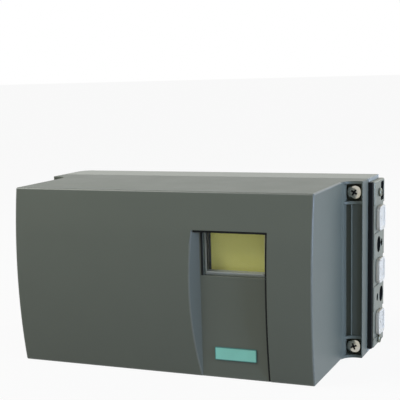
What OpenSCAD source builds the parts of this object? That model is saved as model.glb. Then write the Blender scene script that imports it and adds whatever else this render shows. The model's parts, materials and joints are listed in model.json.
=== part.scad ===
// Valve positioner: a flanged plastic case with a display, a geared feedback shaft at the rear,
// a pneumatic block on the right and cable entries on the left.
// X runs to the right, Y from the front to the rear mounting plane at Y = 0, and Z up.
// The origin is where the feedback shaft's axis crosses the rear mounting plane.

/* [Case] */
// Height of the case
body_h = 95; // [92:1:110]
// Width of the cover between the outer faces of its side walls
cover_w = 165; // [162:1:180]
// Depth of the cover from its joint to the edges of its bowed front
cover_depth = 67.3; // [64:0.1:80]
// How far the front bows out at mid-height
front_bulge = 4.3; // [3.5:0.1:6]
// Depth of the base housing
base_depth = 24; // [23.5:0.1:30]
// Wall thickness of the cover and of the base's sides
wall = 3; // [2.4:0.1:3.4]
// Thickness of the base's rear wall
rear_wall = 4; // [3:0.1:5]
// Radius of the base's rear left corner
base_corner_r = 8; // [4:0.5:8]
// Joint between the base and the cover
joint_gap = 1; // [0.8:0.1:1.6]

/* [Flanges] */
// How far each side flange stands out from the cover's side wall
flange_reach = 9.75; // [9.5:0.05:12]
// Depth of each side flange
flange_depth = 11.8; // [10.5:0.1:16]
// Radius of the hollow between a side wall and its flange
flange_fillet = 7; // [3:0.5:9]
// Depth of the screw pockets below the flange's face
pocket_depth = 3.4; // [3:0.1:6]
// Length of a screw pocket
pocket_len = 9; // [8.6:0.1:10]
// Thickness of the lip left around a pocket
pocket_lip = 0.7; // [0.5:0.05:0.8]
// Rim above and below the pockets
pocket_rim = 1.5; // [1:0.1:2]
// Thickness of the bar between a pocket and the long channel
bar_t = 1.6; // [1:0.1:3]
// Depth of the long channel between the bars
channel_depth = 1; // [0.5:0.1:2]
// Width of the thin rib along the channel
rib_w = 0.6; // [0.4:0.1:1]
// Distance from the cover's side wall to that rib
rib_out = 3.3; // [2:0.1:5]

/* [Cover screws] */
// Radius of the screw's thread
cover_screw_r = 2; // [1.5:0.1:2.2]
// Radius of the screw's head
cover_head_r = 3.9; // [3.4:0.1:3.9]
// Height of the screw's head
cover_head_t = 3; // [2:0.1:3.4]
// Distance from the cover's side wall to the screw's axis
cover_screw_out = 5; // [4.8:0.05:5.1]
// Distance from the top or bottom to the screw's axis
cover_screw_in = 6; // [5.6:0.1:6.4]
// Distance from the end of a threaded insert to the pneumatic block
insert_gap = 0.3; // [0.2:0.1:1.5]
// Wall of a threaded insert
insert_wall = 0.75; // [0.6:0.05:1]
// Thickness of the washer that keeps a screw in the cover
retainer_t = 1; // [0.6:0.1:1.4]
// Width of that washer's ring
retainer_w = 1.6; // [1:0.1:1.8]

/* [Display band] */
// Left edge of the band's floor
band_left = 23; // [20:0.5:24]
// Right edge of the band
band_right = 59.5; // [59:0.5:64]
// Distance from the top of the case to the band's top end
band_end = 19; // [15.5:0.5:19]
// Depth of the band's floor behind the front's edges
band_set = 0.2; // [0:0.1:1]
// Width of the window opening
window_w = 33; // [30:0.5:34]
// Height of the window opening
window_h = 22.6; // [20:0.1:22.8]
// Middle of the window to the right of the case's middle
window_x = 41.4; // [41:0.1:42]
// Distance from the top of the case to the window opening
window_top = 19.7; // [19.5:0.1:20]
// How far the pane's face lies behind the band's floor
pane_set = 0.5; // [0:0.1:1]
// Width of the bevel around the pane
pane_bevel = 1.6; // [0.5:0.1:2]
// Depth of that bevel
pane_bevel_depth = 1.1; // [0.4:0.1:1.5]
// Width of the pane's flange behind the opening
pane_flange = 2.2; // [1.5:0.1:2.4]
// Thickness of the pane's flange
pane_flange_t = 1.5; // [1:0.1:2]
// Thickness of the window seal
window_seal_t = 0.8; // [0.5:0.1:1.2]
// Width of the blank plate
plate_w = 22.3; // [15:0.1:28]
// Height of the blank plate
plate_h = 6.7; // [4:0.1:8]
// Thickness of the blank plate
plate_t = 0.5; // [0.3:0.1:0.8]
// Distance from the bottom of the case to the middle of the blank plate
plate_up = 12.9; // [11.5:0.1:17.5]
// Width of the shadow groove along the band's right edge
groove_w = 0.8; // [0.5:0.1:1]
// Depth of the shadow groove and of the rebate above the window
groove_d = 1.6; // [0.8:0.1:2]

/* [Feedback shaft] */
// Radius of the feedback shaft outside the case
shaft_r = 4; // [3:0.1:4.2]
// Radius of the feedback shaft inside the case
journal_r = 4.5; // [4.3:0.1:4.8]
// Length of the shaft behind the mounting plane
shaft_out = 18; // [12:0.5:30]
// Length of the shaft's thinner tip, which carries a flat
shaft_end_len = 5; // [3:0.5:8]
// How much thinner the tip's radius is
shaft_end_step = 0.4; // [0.2:0.1:0.8]
// Depth of the flat on the tip
shaft_flat = 0.8; // [0.3:0.1:1.2]
// Radius of the boss that holds the bushes
shaft_boss_r = 10; // [9:0.5:11]
// Length of that boss in front of the mounting plane
shaft_boss_len = 16; // [15:0.5:17]
// Wall of a shaft bush
bush_wall = 2; // [1.5:0.1:2.5]
// Length of a shaft bush
bush_len = 5.5; // [4:0.1:6]
// Module of the feedback gears
gear_module = 0.7; // [0.68:0.01:0.72]
// Teeth of the drive gear
drive_teeth = 54; // [50:2:56]
// Teeth of the potentiometer's pinion
pinion_teeth = 18; // [17:1:20]
// Thickness of the gears
gear_t = 5; // [3:0.1:6]
// Tooth thinning on each gear, for backlash
gear_backlash = 0.16; // [0.1:0.02:0.24]
// Radius of the friction wheel
wheel_r = 15; // [12:0.5:15.5]
// Thickness of the friction wheel
wheel_t = 8; // [5:0.1:10]
// Radius of the potentiometer's shaft
pot_shaft_r = 3; // [2:0.1:3.2]
// Side of the potentiometer's body
pot_side = 20; // [16:0.5:20.5]

/* [Pneumatic block] */
// Thickness of the block's outer plate
block_plate_t = 3.1; // [2:0.1:4]
// Distance from the front of the outer plate to the front of the base
block_plate_set = 1.5; // [1.3:0.1:4]
// How far the outer plate stays inside the case's height at each end
block_plate_rim = 2; // [1:0.1:3]
// Length of the block inside the case
block_in = 13.25; // [13:0.05:14]
// Radius of the port bores, the tapping size of a G 1/4 thread
port_r = 5.9; // [4.5:0.1:6]
// Length of the port bores
port_len = 11; // [8:0.5:11.5]
// Distance from the top of the case to the upper port
port_top = 22.5; // [22:0.5:24]
// Distance from the bottom of the case to the lower port
port_low = 14.5; // [14:0.5:16]
// Distance from the mounting plane to the ports
port_y = 10.5; // [10.3:0.1:11]
// Wall around a port
port_wall = 1.7; // [1.2:0.1:1.7]
// Radius of a dust plug
plug_r = 6.9; // [6.4:0.1:7]
// How far a dust plug stands out of the block
plug_out = 1.6; // [1:0.1:4]
// Depth of the notch that a dust plug lies in
notch_depth = 0.5; // [0.4:0.1:1.6]
// Length of a dust plug's spigot in the mouth of its port
plug_spigot = 1.1; // [0.6:0.1:1.6]
// How far the mouth of a port is wider than its bore
port_mouth = 0.6; // [0.4:0.1:0.8]
// Tapping radius of the two gauge holes
gauge_hole_r = 2.1; // [1.6:0.1:2.1]
// Depth of the two gauge holes
gauge_hole_len = 9; // [6:0.5:10]
// Radius of the two shallow bores beside and around the gauge holes
shallow_r = 4.4; // [3:0.1:4.5]
// Depth of the shallow bores and the oblong slot
shallow_depth = 1.8; // [1:0.1:1.9]

/* [Cable entries] */
// Radius of the entry threads
entry_r = 10; // [8:0.5:10]
// Distance from the top or bottom of the case to an entry's axis
entry_in = 27.5; // [25.5:0.5:29.5]
// Distance from the mounting plane to the entries
entry_y = 12; // [11.8:0.1:12.2]
// Width across flats of the gland
gland_flats = 23.4; // [22.6:0.1:23.4]
// Radius of the cable's passage through the gland seal
cable_r = 4.5; // [3:0.1:5]

/* [Rear fixing] */
// Distance between the rear fixing holes
fixing_pitch = 50; // [46:1:54]
// Tapping radius of the rear fixing holes
fixing_r = 2.5; // [2:0.1:2.5]
// Depth of the rear fixing holes
fixing_len = 9; // [6:0.5:10]
// Wall of the rear fixing inserts
fixing_wall = 1.5; // [1:0.1:2]

/* [Electronics] */
// Depth of the display glass behind the band's floor
display_set = 7.6; // [6:0.1:9]
// Thickness of the display glass
display_t = 1.8; // [1:0.1:2.5]
// Depth of the shield plate's face behind the display glass
shield_set = 6; // [5:0.1:7]
// Thickness of the shield plate
shield_t = 1.5; // [1:0.1:2]
// Height of the standoffs between the board and the shield plate
standoff_h = 8.4; // [8.2:0.1:10]
// Thickness of the main board
board_t = 1.6; // [1:0.1:2]
// Space between the carrier and the main board
board_gap = 3; // [2:0.1:4]
// Thickness of the carrier plate
carrier_t = 2.5; // [2:0.1:4]
// Radius of the posts that hold the carrier
post_r = 4; // [3.5:0.1:4.5]
// Radius of a push button
button_r = 3.2; // [2.5:0.1:3.6]
// Distance between the push buttons
button_pitch = 11.5; // [11:0.1:12]
// Travel of a push button
button_travel = 1.2; // [0.5:0.1:1.4]

/* [Clearances] */
// Radial clearance of turning and sliding fits
run_fit = 0.05; // [0.02:0.01:0.08]
// Radial clearance of seats within one assembly
seat_fit = 0.02; // [0.01:0.01:0.05]
// Gap between parts that move past each other
move_gap = 0.3; // [0.2:0.05:0.5]
// Radial clearance of screw holes
hole_fit = 0.25; // [0.15:0.05:0.4]
// Gap between parts that only just clear each other
rest_gap = 0.1; // [0.05:0.01:0.15]

/* [Hidden] */
$fn = 64;
cut = 1;

// Levels along Y, from the mounting plane forwards
rear_inner_y = -rear_wall;
base_front_y = -base_depth;
cover_rear_y = base_front_y - joint_gap;
flange_y = cover_rear_y - flange_depth;
pocket_y = flange_y + pocket_depth;
edge_y = cover_rear_y - cover_depth;
front_y = edge_y - front_bulge;
band_y = edge_y + band_set;
band_back_y = band_y + wall;
window_flange_y = band_back_y + window_seal_t;
display_y = band_y + display_set;
display_back_y = display_y + display_t;
shield_y = display_y + shield_set;
shield_back_y = shield_y + shield_t;
board_y = shield_back_y + standoff_h;
board_back_y = board_y + board_t;
carrier_y = board_back_y + board_gap;
carrier_back_y = carrier_y + carrier_t;

// Levels along X and Z
half_h = body_h / 2;
cover_x = cover_w / 2;
case_x = cover_x + flange_reach;
base_in_x = case_x - wall;
inner_z = half_h - wall;
bow_r = (half_h * half_h + front_bulge * front_bulge) / (2 * front_bulge);
bow_y = front_y + bow_r;
screw_x = cover_x + cover_screw_out;
screw_z = half_h - cover_screw_in;
screw_spots = [for (sx = [-1, 1], sz = [-1, 1]) [sx * screw_x, sz * screw_z]];
pocket_z = half_h - pocket_rim;
bar_z = pocket_z - pocket_len;
pocket_wall = 0.8;

// Cover screws, their inserts and retainers
insert_r = cover_screw_r + run_fit + insert_wall;
insert_len = base_depth - port_y - port_r - port_wall - insert_gap;
boss_wall = 1.6;
corner_boss_r = insert_r + boss_wall;
screw_tip_gap = 1;
screw_reach = insert_len - screw_tip_gap;
retainer_seat = retainer_t + move_gap;

// Window and display
window_left = window_x - window_w / 2;
window_right = window_x + window_w / 2;
window_high = half_h - window_top;
window_low = window_high - window_h;
window_z = (window_low + window_high) / 2;
band_top = half_h - band_end;
display_rim = 1.6;
display_half_x = window_w / 2 + display_rim;
display_half_z = window_h / 2 + display_rim;
plate_x = (band_left + band_right) / 2;
plate_z = plate_up - half_h;

// Feedback shaft and gears
bush_r = journal_r + run_fit + bush_wall;
bush_bore_r = journal_r + run_fit;
bush_set = 0.5;
bush_rear_y = -bush_set;
collar_t = 1.8;
collar_step = 1.5;
collar_r = journal_r + collar_step;
collar_y = -shaft_boss_len - move_gap - collar_t;
gear_hub_t = 2;
gear_hub_wall = 3;
gear_hub_r = journal_r + gear_hub_wall;
gear_y = collar_y - gear_t;
drive_pitch_r = gear_module * drive_teeth / 2;
pinion_pitch_r = gear_module * pinion_teeth / 2;
gear_centres = drive_pitch_r + pinion_pitch_r;
pressure = 20;
wheel_proud = 2;
wheel_y = shield_y - wheel_proud;
wheel_back_y = wheel_y + wheel_t;
wheel_access = 3;
wheel_access_r = wheel_r + wheel_access;
spring_t = 0.8;
spring_rise = 1.2;
spring_part = 0.03;
spring_h = 2 * (spring_t + spring_rise + spring_part);
spring_y = wheel_back_y + rest_gap;
clutch_collar_t = 2;
clutch_collar_step = 3;
clutch_collar_r = journal_r + clutch_collar_step;
clutch_collar_y = spring_y + spring_h;
circlip_t = 0.9;
circlip_w = 2;
circlip_groove = 0.5;
circlip_y = wheel_y - rest_gap - circlip_t;
shaft_tip = 1.5;
shaft_tip_y = circlip_y - shaft_tip;

// Potentiometer and its bracket
pot_x = -gear_centres;
bracket_t = 2;
pinion_gap = 0.5;
bracket_y = collar_y + pinion_gap;
bracket_back_y = bracket_y + bracket_t;
pot_neck_wall = 1.5;
pot_neck_r = pot_shaft_r + pot_neck_wall;
pot_body_y = [bracket_back_y, rear_inner_y - move_gap];
pot_floor = 2;
pot_neck_proud = 0.2;
bracket_leg_r = 3;
bracket_leg_gap = 1.5;
bracket_leg_z = pot_side / 2 + bracket_leg_r + bracket_leg_gap;
bracket_rim = 1.8;
bracket_side = pot_side / 2 + bracket_rim;
small_screw_r = 1.25;
small_head_r = 2.25;
small_head_t = 1.5;

// Pneumatic block and ports
block_x = [case_x - block_in, case_x];
block_face_x = case_x + block_plate_t;
block_half_h = half_h - block_plate_rim;
block_plate_d = base_depth - block_plate_set;
port_pitch = (body_h - port_top - port_low) / 2;
port_z = [for (k = [0 : 2]) half_h - port_top - k * port_pitch];
bar_half_y = port_r + port_wall;
block_bar_y = [-port_y - bar_half_y, -port_y + bar_half_y];
block_bar_z = [port_z[2] - bar_half_y, port_z[0] + bar_half_y];
notch_x = block_face_x - notch_depth;
notch_side = 0.6;
notch_half = plug_r + notch_side;
port_mouth_x = notch_x - plug_spigot - rest_gap;
port_end_x = port_mouth_x - port_len;
passage_r = 2;
passage_len = 4;
gauge_rim = 0.6;
gauge_y = -port_y + bar_half_y - gauge_hole_r - gauge_rim;
gauge_z = [(port_z[0] + port_z[1]) / 2, (port_z[1] + port_z[2]) / 2];
shallow_front = 1.8;
shallow_y = [-port_y - shallow_front, gauge_y];
dot_front = 4.2;
slot_r = 1.4;
slot_len = 7;
slot_rim = 1;
slot_y = -slot_r - slot_rim;
slot_z = (block_bar_z[1] + block_half_h) / 2;
block_screw_set = 2;
block_screw_y = -port_y - block_screw_set;
block_screw_low = 0.7;
block_screw_high = 2;
block_screw_z = [block_bar_z[0] - small_screw_r - block_screw_low,
    block_bar_z[1] + corner_boss_r + block_screw_high];
block_screw_len = 8;
block_screw_end = 2;
seal_strip_w = 2.2;

// Valve manifold
manifold_w = 23;
manifold_d = 28;
manifold_x = [block_x[0] - manifold_w, block_x[0]];
manifold_y = [rear_inner_y - manifold_d, rear_inner_y];
manifold_z = block_bar_z;
manifold_screw_r = 2;
manifold_head_r = 3.5;
manifold_head_t = 3;
manifold_screw_side = 4.5;
manifold_screw_end = 5;
manifold_screw_x = manifold_x[0] + manifold_screw_side;
manifold_screw_z = [manifold_z[0] + manifold_screw_end, manifold_z[1] - manifold_screw_end];
screw_floor = 1;
screw_grip = rear_wall - screw_floor;
trim_in = 6;
trim_x = manifold_x[1] - trim_in;
restrictor_r = 2.4;
restrictor_head_r = 3.5;
restrictor_head_t = 3;
restrictor_len = 12;
restrictor_end = 1;
restrictor_in = 12;
restrictor_z = [manifold_z[1] - restrictor_in, manifold_z[0] + restrictor_in];
selector_w = 6;
selector_len = 8;
selector_travel = 4;
selector_deep = 4;
selector_drop = 6;
selector_z = (manifold_z[0] + manifold_z[1]) / 2 - selector_drop;
pilot_w = 11;
pilot_h = 15;
pilot_l = 13;
pilot_gap = 6;
pilot_z = [selector_z + pilot_l, selector_z - pilot_gap];
silencer_r = 6;
silencer_lip = 2;
silencer_away = 22;
silencer_x = manifold_x[0] - silencer_away;

// Cable entries
entry_z = half_h - entry_in;
entry_pad = 0.75;
entry_pad_rim = 2.5;
entry_pad_z = gland_flats / 2 + entry_pad_rim;
entry_pad_set = 0.5;
entry_seat_x = -case_x - entry_pad;
entry_seal_t = 1.2;
entry_seal_w = 1.5;
entry_depth = 8.5;
gland_flange_x = entry_seat_x - entry_seal_t;
gland_flange_t = 5;
gland_stub_step = 1.2;
gland_stub_r = entry_r - gland_stub_step;
gland_stub_len = 7;
gland_seal_wall = 2;
gland_bore_r = cable_r + gland_seal_wall;
gland_seal_len = 12;
gland_end_x = gland_flange_x - gland_flange_t - gland_stub_len;
gland_nut_gap = 1.5;
gland_nut_len = 13;
gland_nut_wall = 1.5;
blank_head_t = 5;

// Carrier, board and what they carry
carrier_side_gap = 5.5;
carrier_end_gap = 3.5;
carrier_past_window = 6;
carrier_x = [-cover_x + wall + carrier_side_gap, window_right + carrier_past_window];
carrier_z = inner_z - carrier_end_gap;
post_rim = 1;
post_z = carrier_z - post_r - post_rim;
post_screw_len = 9;
board_left = 16;
board_side_rim = 1.5;
board_end_rim = 3;
board_x = [-wheel_access_r - board_left, carrier_x[1] - board_side_rim];
board_z = carrier_z - board_end_rim;
stand_in = 4;
stand_spots = [for (x = [board_x[0] + stand_in, board_x[1] - stand_in], sz = [-1, 1])
    [x, sz * (board_z - stand_in)]];
stand_flats = 5;
post_gap = 4;
post_left_of_stand = post_r + stand_flats / 2 + rest_gap;
post_x = [carrier_x[0] + post_r,
    min(manifold_x[0] - post_r - post_gap, board_x[1] - stand_in - post_left_of_stand)];
post_spots = [for (x = post_x, sz = [-1, 1]) [x, sz * post_z]];
stand_pin_end = 0.5;
stand_pin_len = board_t + board_gap - stand_pin_end;
stand_boss_wall = 1.6;
shield_screw_len = 5;
selector_slot_x = 9;
selector_slot_len = 13;
selector_slot_z = wheel_access_r + selector_slot_len;
ratio_w = 10;
ratio_h = 7.5;
ratio_l = 6;
ratio_travel = 5;
ratio_drop = 6.5;
ratio_z = -wheel_access_r - ratio_drop;
rail_t = 1.2;
rail_h = 2;
button_z = -10;
button_spots = [for (k = [-1 : 1]) window_x + k * button_pitch];
button_flange = 1.3;
button_flange_t = 1.3;
button_proud = 5.5;
button_tail = 3;
button_rear_y = shield_back_y + button_tail;
switch_side = 6;
switch_tip_r = 1.7;
switch_tip_t = 1;
switch_gap = 0.2;
switch_tip_y = button_rear_y + button_travel + switch_gap;
terminal_head_gap = 0.75;
terminal_board_gap = 4;
terminal_x = [post_x[0] + small_head_r + terminal_head_gap, board_x[0] - terminal_board_gap];
terminal_mid_x = (terminal_x[0] + terminal_x[1]) / 2;
terminal_sink = 3;
terminal_hole_len = 9;
terminal_screw_len = 5;
terminal_h = 16;
terminal_ways = 8;
terminal_pitch = 7.5;
terminal_screw_r = 1.6;
terminal_head_r = 2.2;
terminal_spots = [for (k = [0 : terminal_ways - 1]) (k - (terminal_ways - 1) / 2) * terminal_pitch];
terminal_half_z = terminal_ways * terminal_pitch / 2;
terminal_y = carrier_y - terminal_h;

// Block between pairs of limits
module span(x, y, z) {
    translate([x[0], y[0], z[0]])
        cube([x[1] - x[0], y[1] - y[0], z[1] - z[0]]);
}

// Round bar along Y between two limits
module rod_y(r, y, x = 0, z = 0) {
    translate([x, y[0], z])
        rotate([-90, 0, 0])
            cylinder(r = r, h = y[1] - y[0]);
}

// Round bar along X between two limits
module rod_x(r, x, y = 0, z = 0) {
    translate([x[0], y, z])
        rotate([0, 90, 0])
            cylinder(r = r, h = x[1] - x[0]);
}

// Ring along Y
module ring_y(outer, inner, y, x = 0, z = 0) {
    difference() {
        rod_y(outer, y, x, z);
        rod_y(inner, [y[0] - cut, y[1] + cut], x, z);
    }
}

// Ring along X
module ring_x(outer, inner, x, y = 0, z = 0) {
    difference() {
        rod_x(outer, x, y, z);
        rod_x(inner, [x[0] - cut, x[1] + cut], y, z);
    }
}

// Hexagonal bar along Y
module hex_y(flats, y, x = 0, z = 0) {
    translate([x, y[0], z])
        rotate([-90, 0, 0])
            cylinder(r = flats / 2 / cos(30), h = y[1] - y[0], $fn = 6);
}

// Hexagonal bar along X with two flats parallel to the mounting plane
module hex_x(flats, x, y = 0, z = 0) {
    translate([x[0], y, z])
        rotate([0, 90, 0])
            cylinder(r = flats / 2 / cos(30), h = x[1] - x[0], $fn = 6);
}

// Screw along Y, seated at its own origin, with its head to the front and a cross recess
module cross_screw(head_r, head_t, shank_r, len) {
    recess_w = head_r * 0.3;
    recess_l = head_r * 1.15;
    recess_d = head_t * 0.6;
    difference() {
        rod_y(head_r, [-head_t, 0]);
        for (turn = [0, 90]) {
            translate([0, -head_t, 0])
                rotate([0, turn, 0])
                    span([-recess_l / 2, recess_l / 2], [-cut, recess_d], [-recess_w / 2, recess_w / 2]);
        }
    }
    rod_y(shank_r, [-head_t / 4, len]);
}

// Involute of an angle, in degrees
function involute(angle) = tan(angle) * 180 / PI - angle;

// Half of a tooth's angle at radius r
function tooth_half(teeth, pitch_r, r) =
    let (base_r = pitch_r * cos(pressure))
    90 / teeth - gear_backlash / 2 / pitch_r * 180 / PI + involute(pressure)
    - involute(acos(min(1, base_r / max(r, base_r))));

// Outline of a spur gear with a tooth on its first axis
function gear_outline(teeth) =
    let (
        pitch_r = gear_module * teeth / 2,
        root_r = pitch_r - 1.3 * gear_module,
        tip_r = pitch_r + 0.9 * gear_module,
        flank = [for (k = [0 : 3]) root_r + (tip_r - root_r) * k / 3]
    )
    [for (tooth = [0 : teeth - 1])
        let (middle = tooth * 360 / teeth)
        each concat(
            [for (k = [0 : 3])
                let (a = middle - tooth_half(teeth, pitch_r, flank[k]))
                flank[k] * [cos(a), sin(a)]],
            [for (k = [3 : -1 : 0])
                let (a = middle + tooth_half(teeth, pitch_r, flank[k]))
                flank[k] * [cos(a), sin(a)]]
        )];

// Toothed disc along Y
module toothed_disc(teeth, y) {
    translate([0, y[0], 0])
        rotate([-90, 0, 0])
            linear_extrude(y[1] - y[0])
                polygon(gear_outline(teeth));
}

// Outer form of the base, with its rear left corner rounded
module base_form() {
    difference() {
        span([-case_x, case_x], [base_front_y, 0], [-half_h, half_h]);
        difference() {
            span([-case_x - cut, -case_x + base_corner_r], [-base_corner_r, cut],
                [-half_h - cut, half_h + cut]);
            translate([-case_x + base_corner_r, -base_corner_r, -half_h - 2 * cut])
                cylinder(r = base_corner_r, h = body_h + 4 * cut);
        }
    }
}

// Bosses, pads and posts that stand on the base's walls
module base_bosses() {
    rod_y(shaft_boss_r, [-shaft_boss_len, -rear_wall / 2]);
    intersection() {
        base_form();
        union() {
            for (spot = screw_spots) {
                rod_y(corner_boss_r, [base_front_y, base_front_y + insert_len + wall], spot[0], spot[1]);
            }
            for (sz = [-1, 1]) {
                rod_x(entry_r + wall, [-case_x, -case_x + entry_depth], -entry_y, sz * entry_z);
            }
            for (z = block_screw_z) {
                rod_x(small_screw_r + wall, [case_x - block_screw_len, case_x], block_screw_y, z);
            }
        }
    }
    for (sz = [-1, 1]) {
        span([entry_seat_x, -base_in_x], [base_front_y, -entry_pad_set],
            [sz * entry_z - entry_pad_z, sz * entry_z + entry_pad_z]);
    }
    for (sx = [-1, 1], sz = [-1, 1]) {
        rod_y(fixing_r + fixing_wall + wall, [-fixing_len - wall, -rear_wall / 2],
            sx * fixing_pitch / 2, sz * fixing_pitch / 2);
    }
    for (spot = post_spots) {
        rod_y(post_r, [carrier_back_y, -rear_wall / 2], spot[0], spot[1]);
    }
}

module base_housing() {
    color("#a9ab9f")
        difference() {
            union() {
                difference() {
                    base_form();
                    span([-base_in_x, base_in_x], [base_front_y - cut, rear_inner_y], [-inner_z, inner_z]);
                }
                base_bosses();
            }
            rod_y(bush_r + seat_fit, [-shaft_boss_len - cut, cut]);
            for (spot = screw_spots) {
                rod_y(insert_r + seat_fit, [base_front_y - cut, base_front_y + insert_len],
                    spot[0], spot[1]);
            }
            for (sx = [-1, 1], sz = [-1, 1]) {
                rod_y(fixing_r + fixing_wall + seat_fit, [-fixing_len, cut],
                    sx * fixing_pitch / 2, sz * fixing_pitch / 2);
            }
            for (spot = post_spots) {
                rod_y(small_screw_r + seat_fit, [carrier_back_y - cut, carrier_back_y + post_screw_len],
                    spot[0], spot[1]);
            }
            for (sz = [-1, 1]) {
                rod_x(entry_r + seat_fit, [entry_seat_x - cut, -case_x + entry_depth + cut],
                    -entry_y, sz * entry_z);
            }
            span([block_x[0] - seat_fit, case_x + cut],
                [block_bar_y[0] - seat_fit, block_bar_y[1] + seat_fit],
                [block_bar_z[0] - seat_fit, block_bar_z[1] + seat_fit]);
            for (z = block_screw_z) {
                rod_x(small_screw_r + seat_fit, [case_x - block_screw_len + cut, case_x + cut],
                    block_screw_y, z);
            }
            for (z = manifold_screw_z) {
                rod_y(manifold_screw_r + seat_fit, [rear_inner_y - cut, rear_inner_y + screw_grip],
                    manifold_screw_x, z);
            }
            for (sz = [-1, 1]) {
                rod_y(small_screw_r + seat_fit, [rear_inner_y - cut, rear_inner_y + screw_grip],
                    pot_x, sz * bracket_leg_z);
            }
            translate([silencer_x, base_front_y / 2, -half_h - cut])
                cylinder(r = silencer_r + seat_fit, h = wall + 2 * cut);
        }
}

module mounting_inserts() {
    color("#c8a24a")
        for (sx = [-1, 1], sz = [-1, 1]) {
            ring_y(fixing_r + fixing_wall, fixing_r, [-fixing_len, 0],
                sx * fixing_pitch / 2, sz * fixing_pitch / 2);
        }
}

module cover_inserts() {
    color("#c8a24a")
        for (spot = screw_spots) {
            ring_y(insert_r, cover_screw_r + run_fit, [base_front_y, base_front_y + insert_len],
                spot[0], spot[1]);
        }
}

module cover_seal() {
    seal_t = joint_gap - rest_gap;
    seal_set = 0.5;
    color("#161616")
        difference() {
            span([-case_x + seal_set, case_x - seal_set], [base_front_y - seal_t, base_front_y],
                [-half_h + seal_set, half_h - seal_set]);
            span([-base_in_x + wall, base_in_x - wall], [base_front_y - seal_t - cut, base_front_y + cut],
                [-inner_z, inner_z]);
            for (spot = screw_spots) {
                rod_y(cover_screw_r + hole_fit, [base_front_y - seal_t - cut, base_front_y + cut],
                    spot[0], spot[1]);
            }
        }
}

module shaft_bush_rear() {
    color("#b08d57")
        ring_y(bush_r, bush_bore_r, [bush_rear_y - bush_len, bush_rear_y]);
}

module shaft_bush_front() {
    color("#b08d57")
        ring_y(bush_r, bush_bore_r, [-shaft_boss_len, -shaft_boss_len + bush_len]);
}

module shaft_seal() {
    cord_r = bush_wall / 2;
    color("#161616")
        translate([0, bush_rear_y - bush_len - cord_r - rest_gap, 0])
            rotate([-90, 0, 0])
                rotate_extrude()
                    translate([bush_bore_r + cord_r, 0])
                        circle(r = cord_r);
}

module pneumatic_block() {
    color("#7f8474")
        difference() {
            union() {
                span([case_x, block_face_x], [-block_plate_d, 0], [-block_half_h, block_half_h]);
                span([block_x[0], case_x + block_plate_t / 4], block_bar_y, block_bar_z);
            }
            for (z = port_z) {
                span([notch_x, block_face_x + cut], [-block_plate_d - cut, cut],
                    [z - notch_half, z + notch_half]);
                rod_x(port_r + port_mouth, [port_mouth_x, block_face_x], -port_y, z);
                rod_x(port_r, [port_end_x, port_mouth_x + cut], -port_y, z);
                rod_x(passage_r, [block_x[0] - cut, port_end_x + cut], -port_y, z);
            }
            for (k = [0, 1]) {
                rod_x(gauge_hole_r, [block_face_x - gauge_hole_len, block_face_x + cut],
                    gauge_y, gauge_z[k]);
                rod_x(shallow_r, [block_face_x - shallow_depth, block_face_x + cut],
                    shallow_y[k], gauge_z[k]);
            }
            rod_x(gauge_hole_r, [block_face_x - shallow_depth, block_face_x + cut],
                -port_y - dot_front, gauge_z[1]);
            for (sz = [-1, 1]) {
                rod_x(slot_r, [block_face_x - shallow_depth, block_face_x + cut],
                    slot_y, slot_z + sz * slot_len / 2);
            }
            span([block_face_x - shallow_depth, block_face_x + cut], [slot_y - slot_r, slot_y + slot_r],
                [slot_z - slot_len / 2, slot_z + slot_len / 2]);
            for (z = block_screw_z) {
                rod_x(small_screw_r + hole_fit, [case_x - cut, block_face_x + cut], block_screw_y, z);
            }
        }
}

module block_seal() {
    color("#161616")
        span([case_x, case_x + seal_strip_w], [cover_rear_y + move_gap, -block_plate_d],
            [-block_half_h, block_half_h]);
}

module block_screws() {
    color("#9a9d9f")
        for (z = block_screw_z) {
            translate([block_face_x, block_screw_y, z])
                rotate([0, 0, 90])
                    cross_screw(small_head_r, small_head_t, small_screw_r,
                        block_plate_t + block_screw_len - block_screw_end);
        }
}

module valve_manifold() {
    color("#9ea2a4")
        difference() {
            span(manifold_x, manifold_y, manifold_z);
            for (z = manifold_screw_z) {
                rod_y(manifold_screw_r + hole_fit, [manifold_y[0] - cut, manifold_y[1] + cut],
                    manifold_screw_x, z);
            }
            for (z = restrictor_z) {
                rod_y(restrictor_r + run_fit,
                    [manifold_y[0] - cut, manifold_y[0] + restrictor_len + restrictor_end], trim_x, z);
            }
            for (z = port_z) {
                rod_x(passage_r, [manifold_x[1] - passage_len, manifold_x[1] + cut], -port_y, z);
            }
            span([trim_x - selector_w / 2, trim_x + selector_w / 2],
                [manifold_y[0] - cut, manifold_y[0] + selector_deep],
                [selector_z, selector_z + selector_len + selector_travel + 2 * move_gap]);
        }
}

module manifold_screws() {
    color("#9a9d9f")
        for (z = manifold_screw_z) {
            translate([manifold_screw_x, manifold_y[0], z])
                cross_screw(manifold_head_r, manifold_head_t, manifold_screw_r,
                    manifold_y[1] - manifold_y[0] + screw_grip - move_gap);
        }
}

// Pilot valve: a coil body with a cap and two contact pins
module pilot_valve(z) {
    low_x = manifold_x[0] + 1;
    cap_set = 1.5;
    cap_t = 2;
    pin_r = 0.5;
    pin_len = 3;
    front = manifold_y[0] - pilot_h;
    span([low_x, low_x + pilot_w], [front, manifold_y[0]], [z, z + pilot_l]);
    span([low_x + cap_set, low_x + pilot_w - cap_set], [front - cap_t, front + cap_t],
        [z + cap_set, z + pilot_l - cap_set]);
    for (share = [1 / 3, 2 / 3]) {
        rod_y(pin_r, [front - cap_t - pin_len, front],
            low_x + pilot_w / 2, z + share * pilot_l);
    }
}

module pilot_valve_upper() {
    color("#2b2d2f")
        pilot_valve(pilot_z[0]);
}

module pilot_valve_lower() {
    color("#2b2d2f")
        pilot_valve(pilot_z[1]);
}

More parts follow.
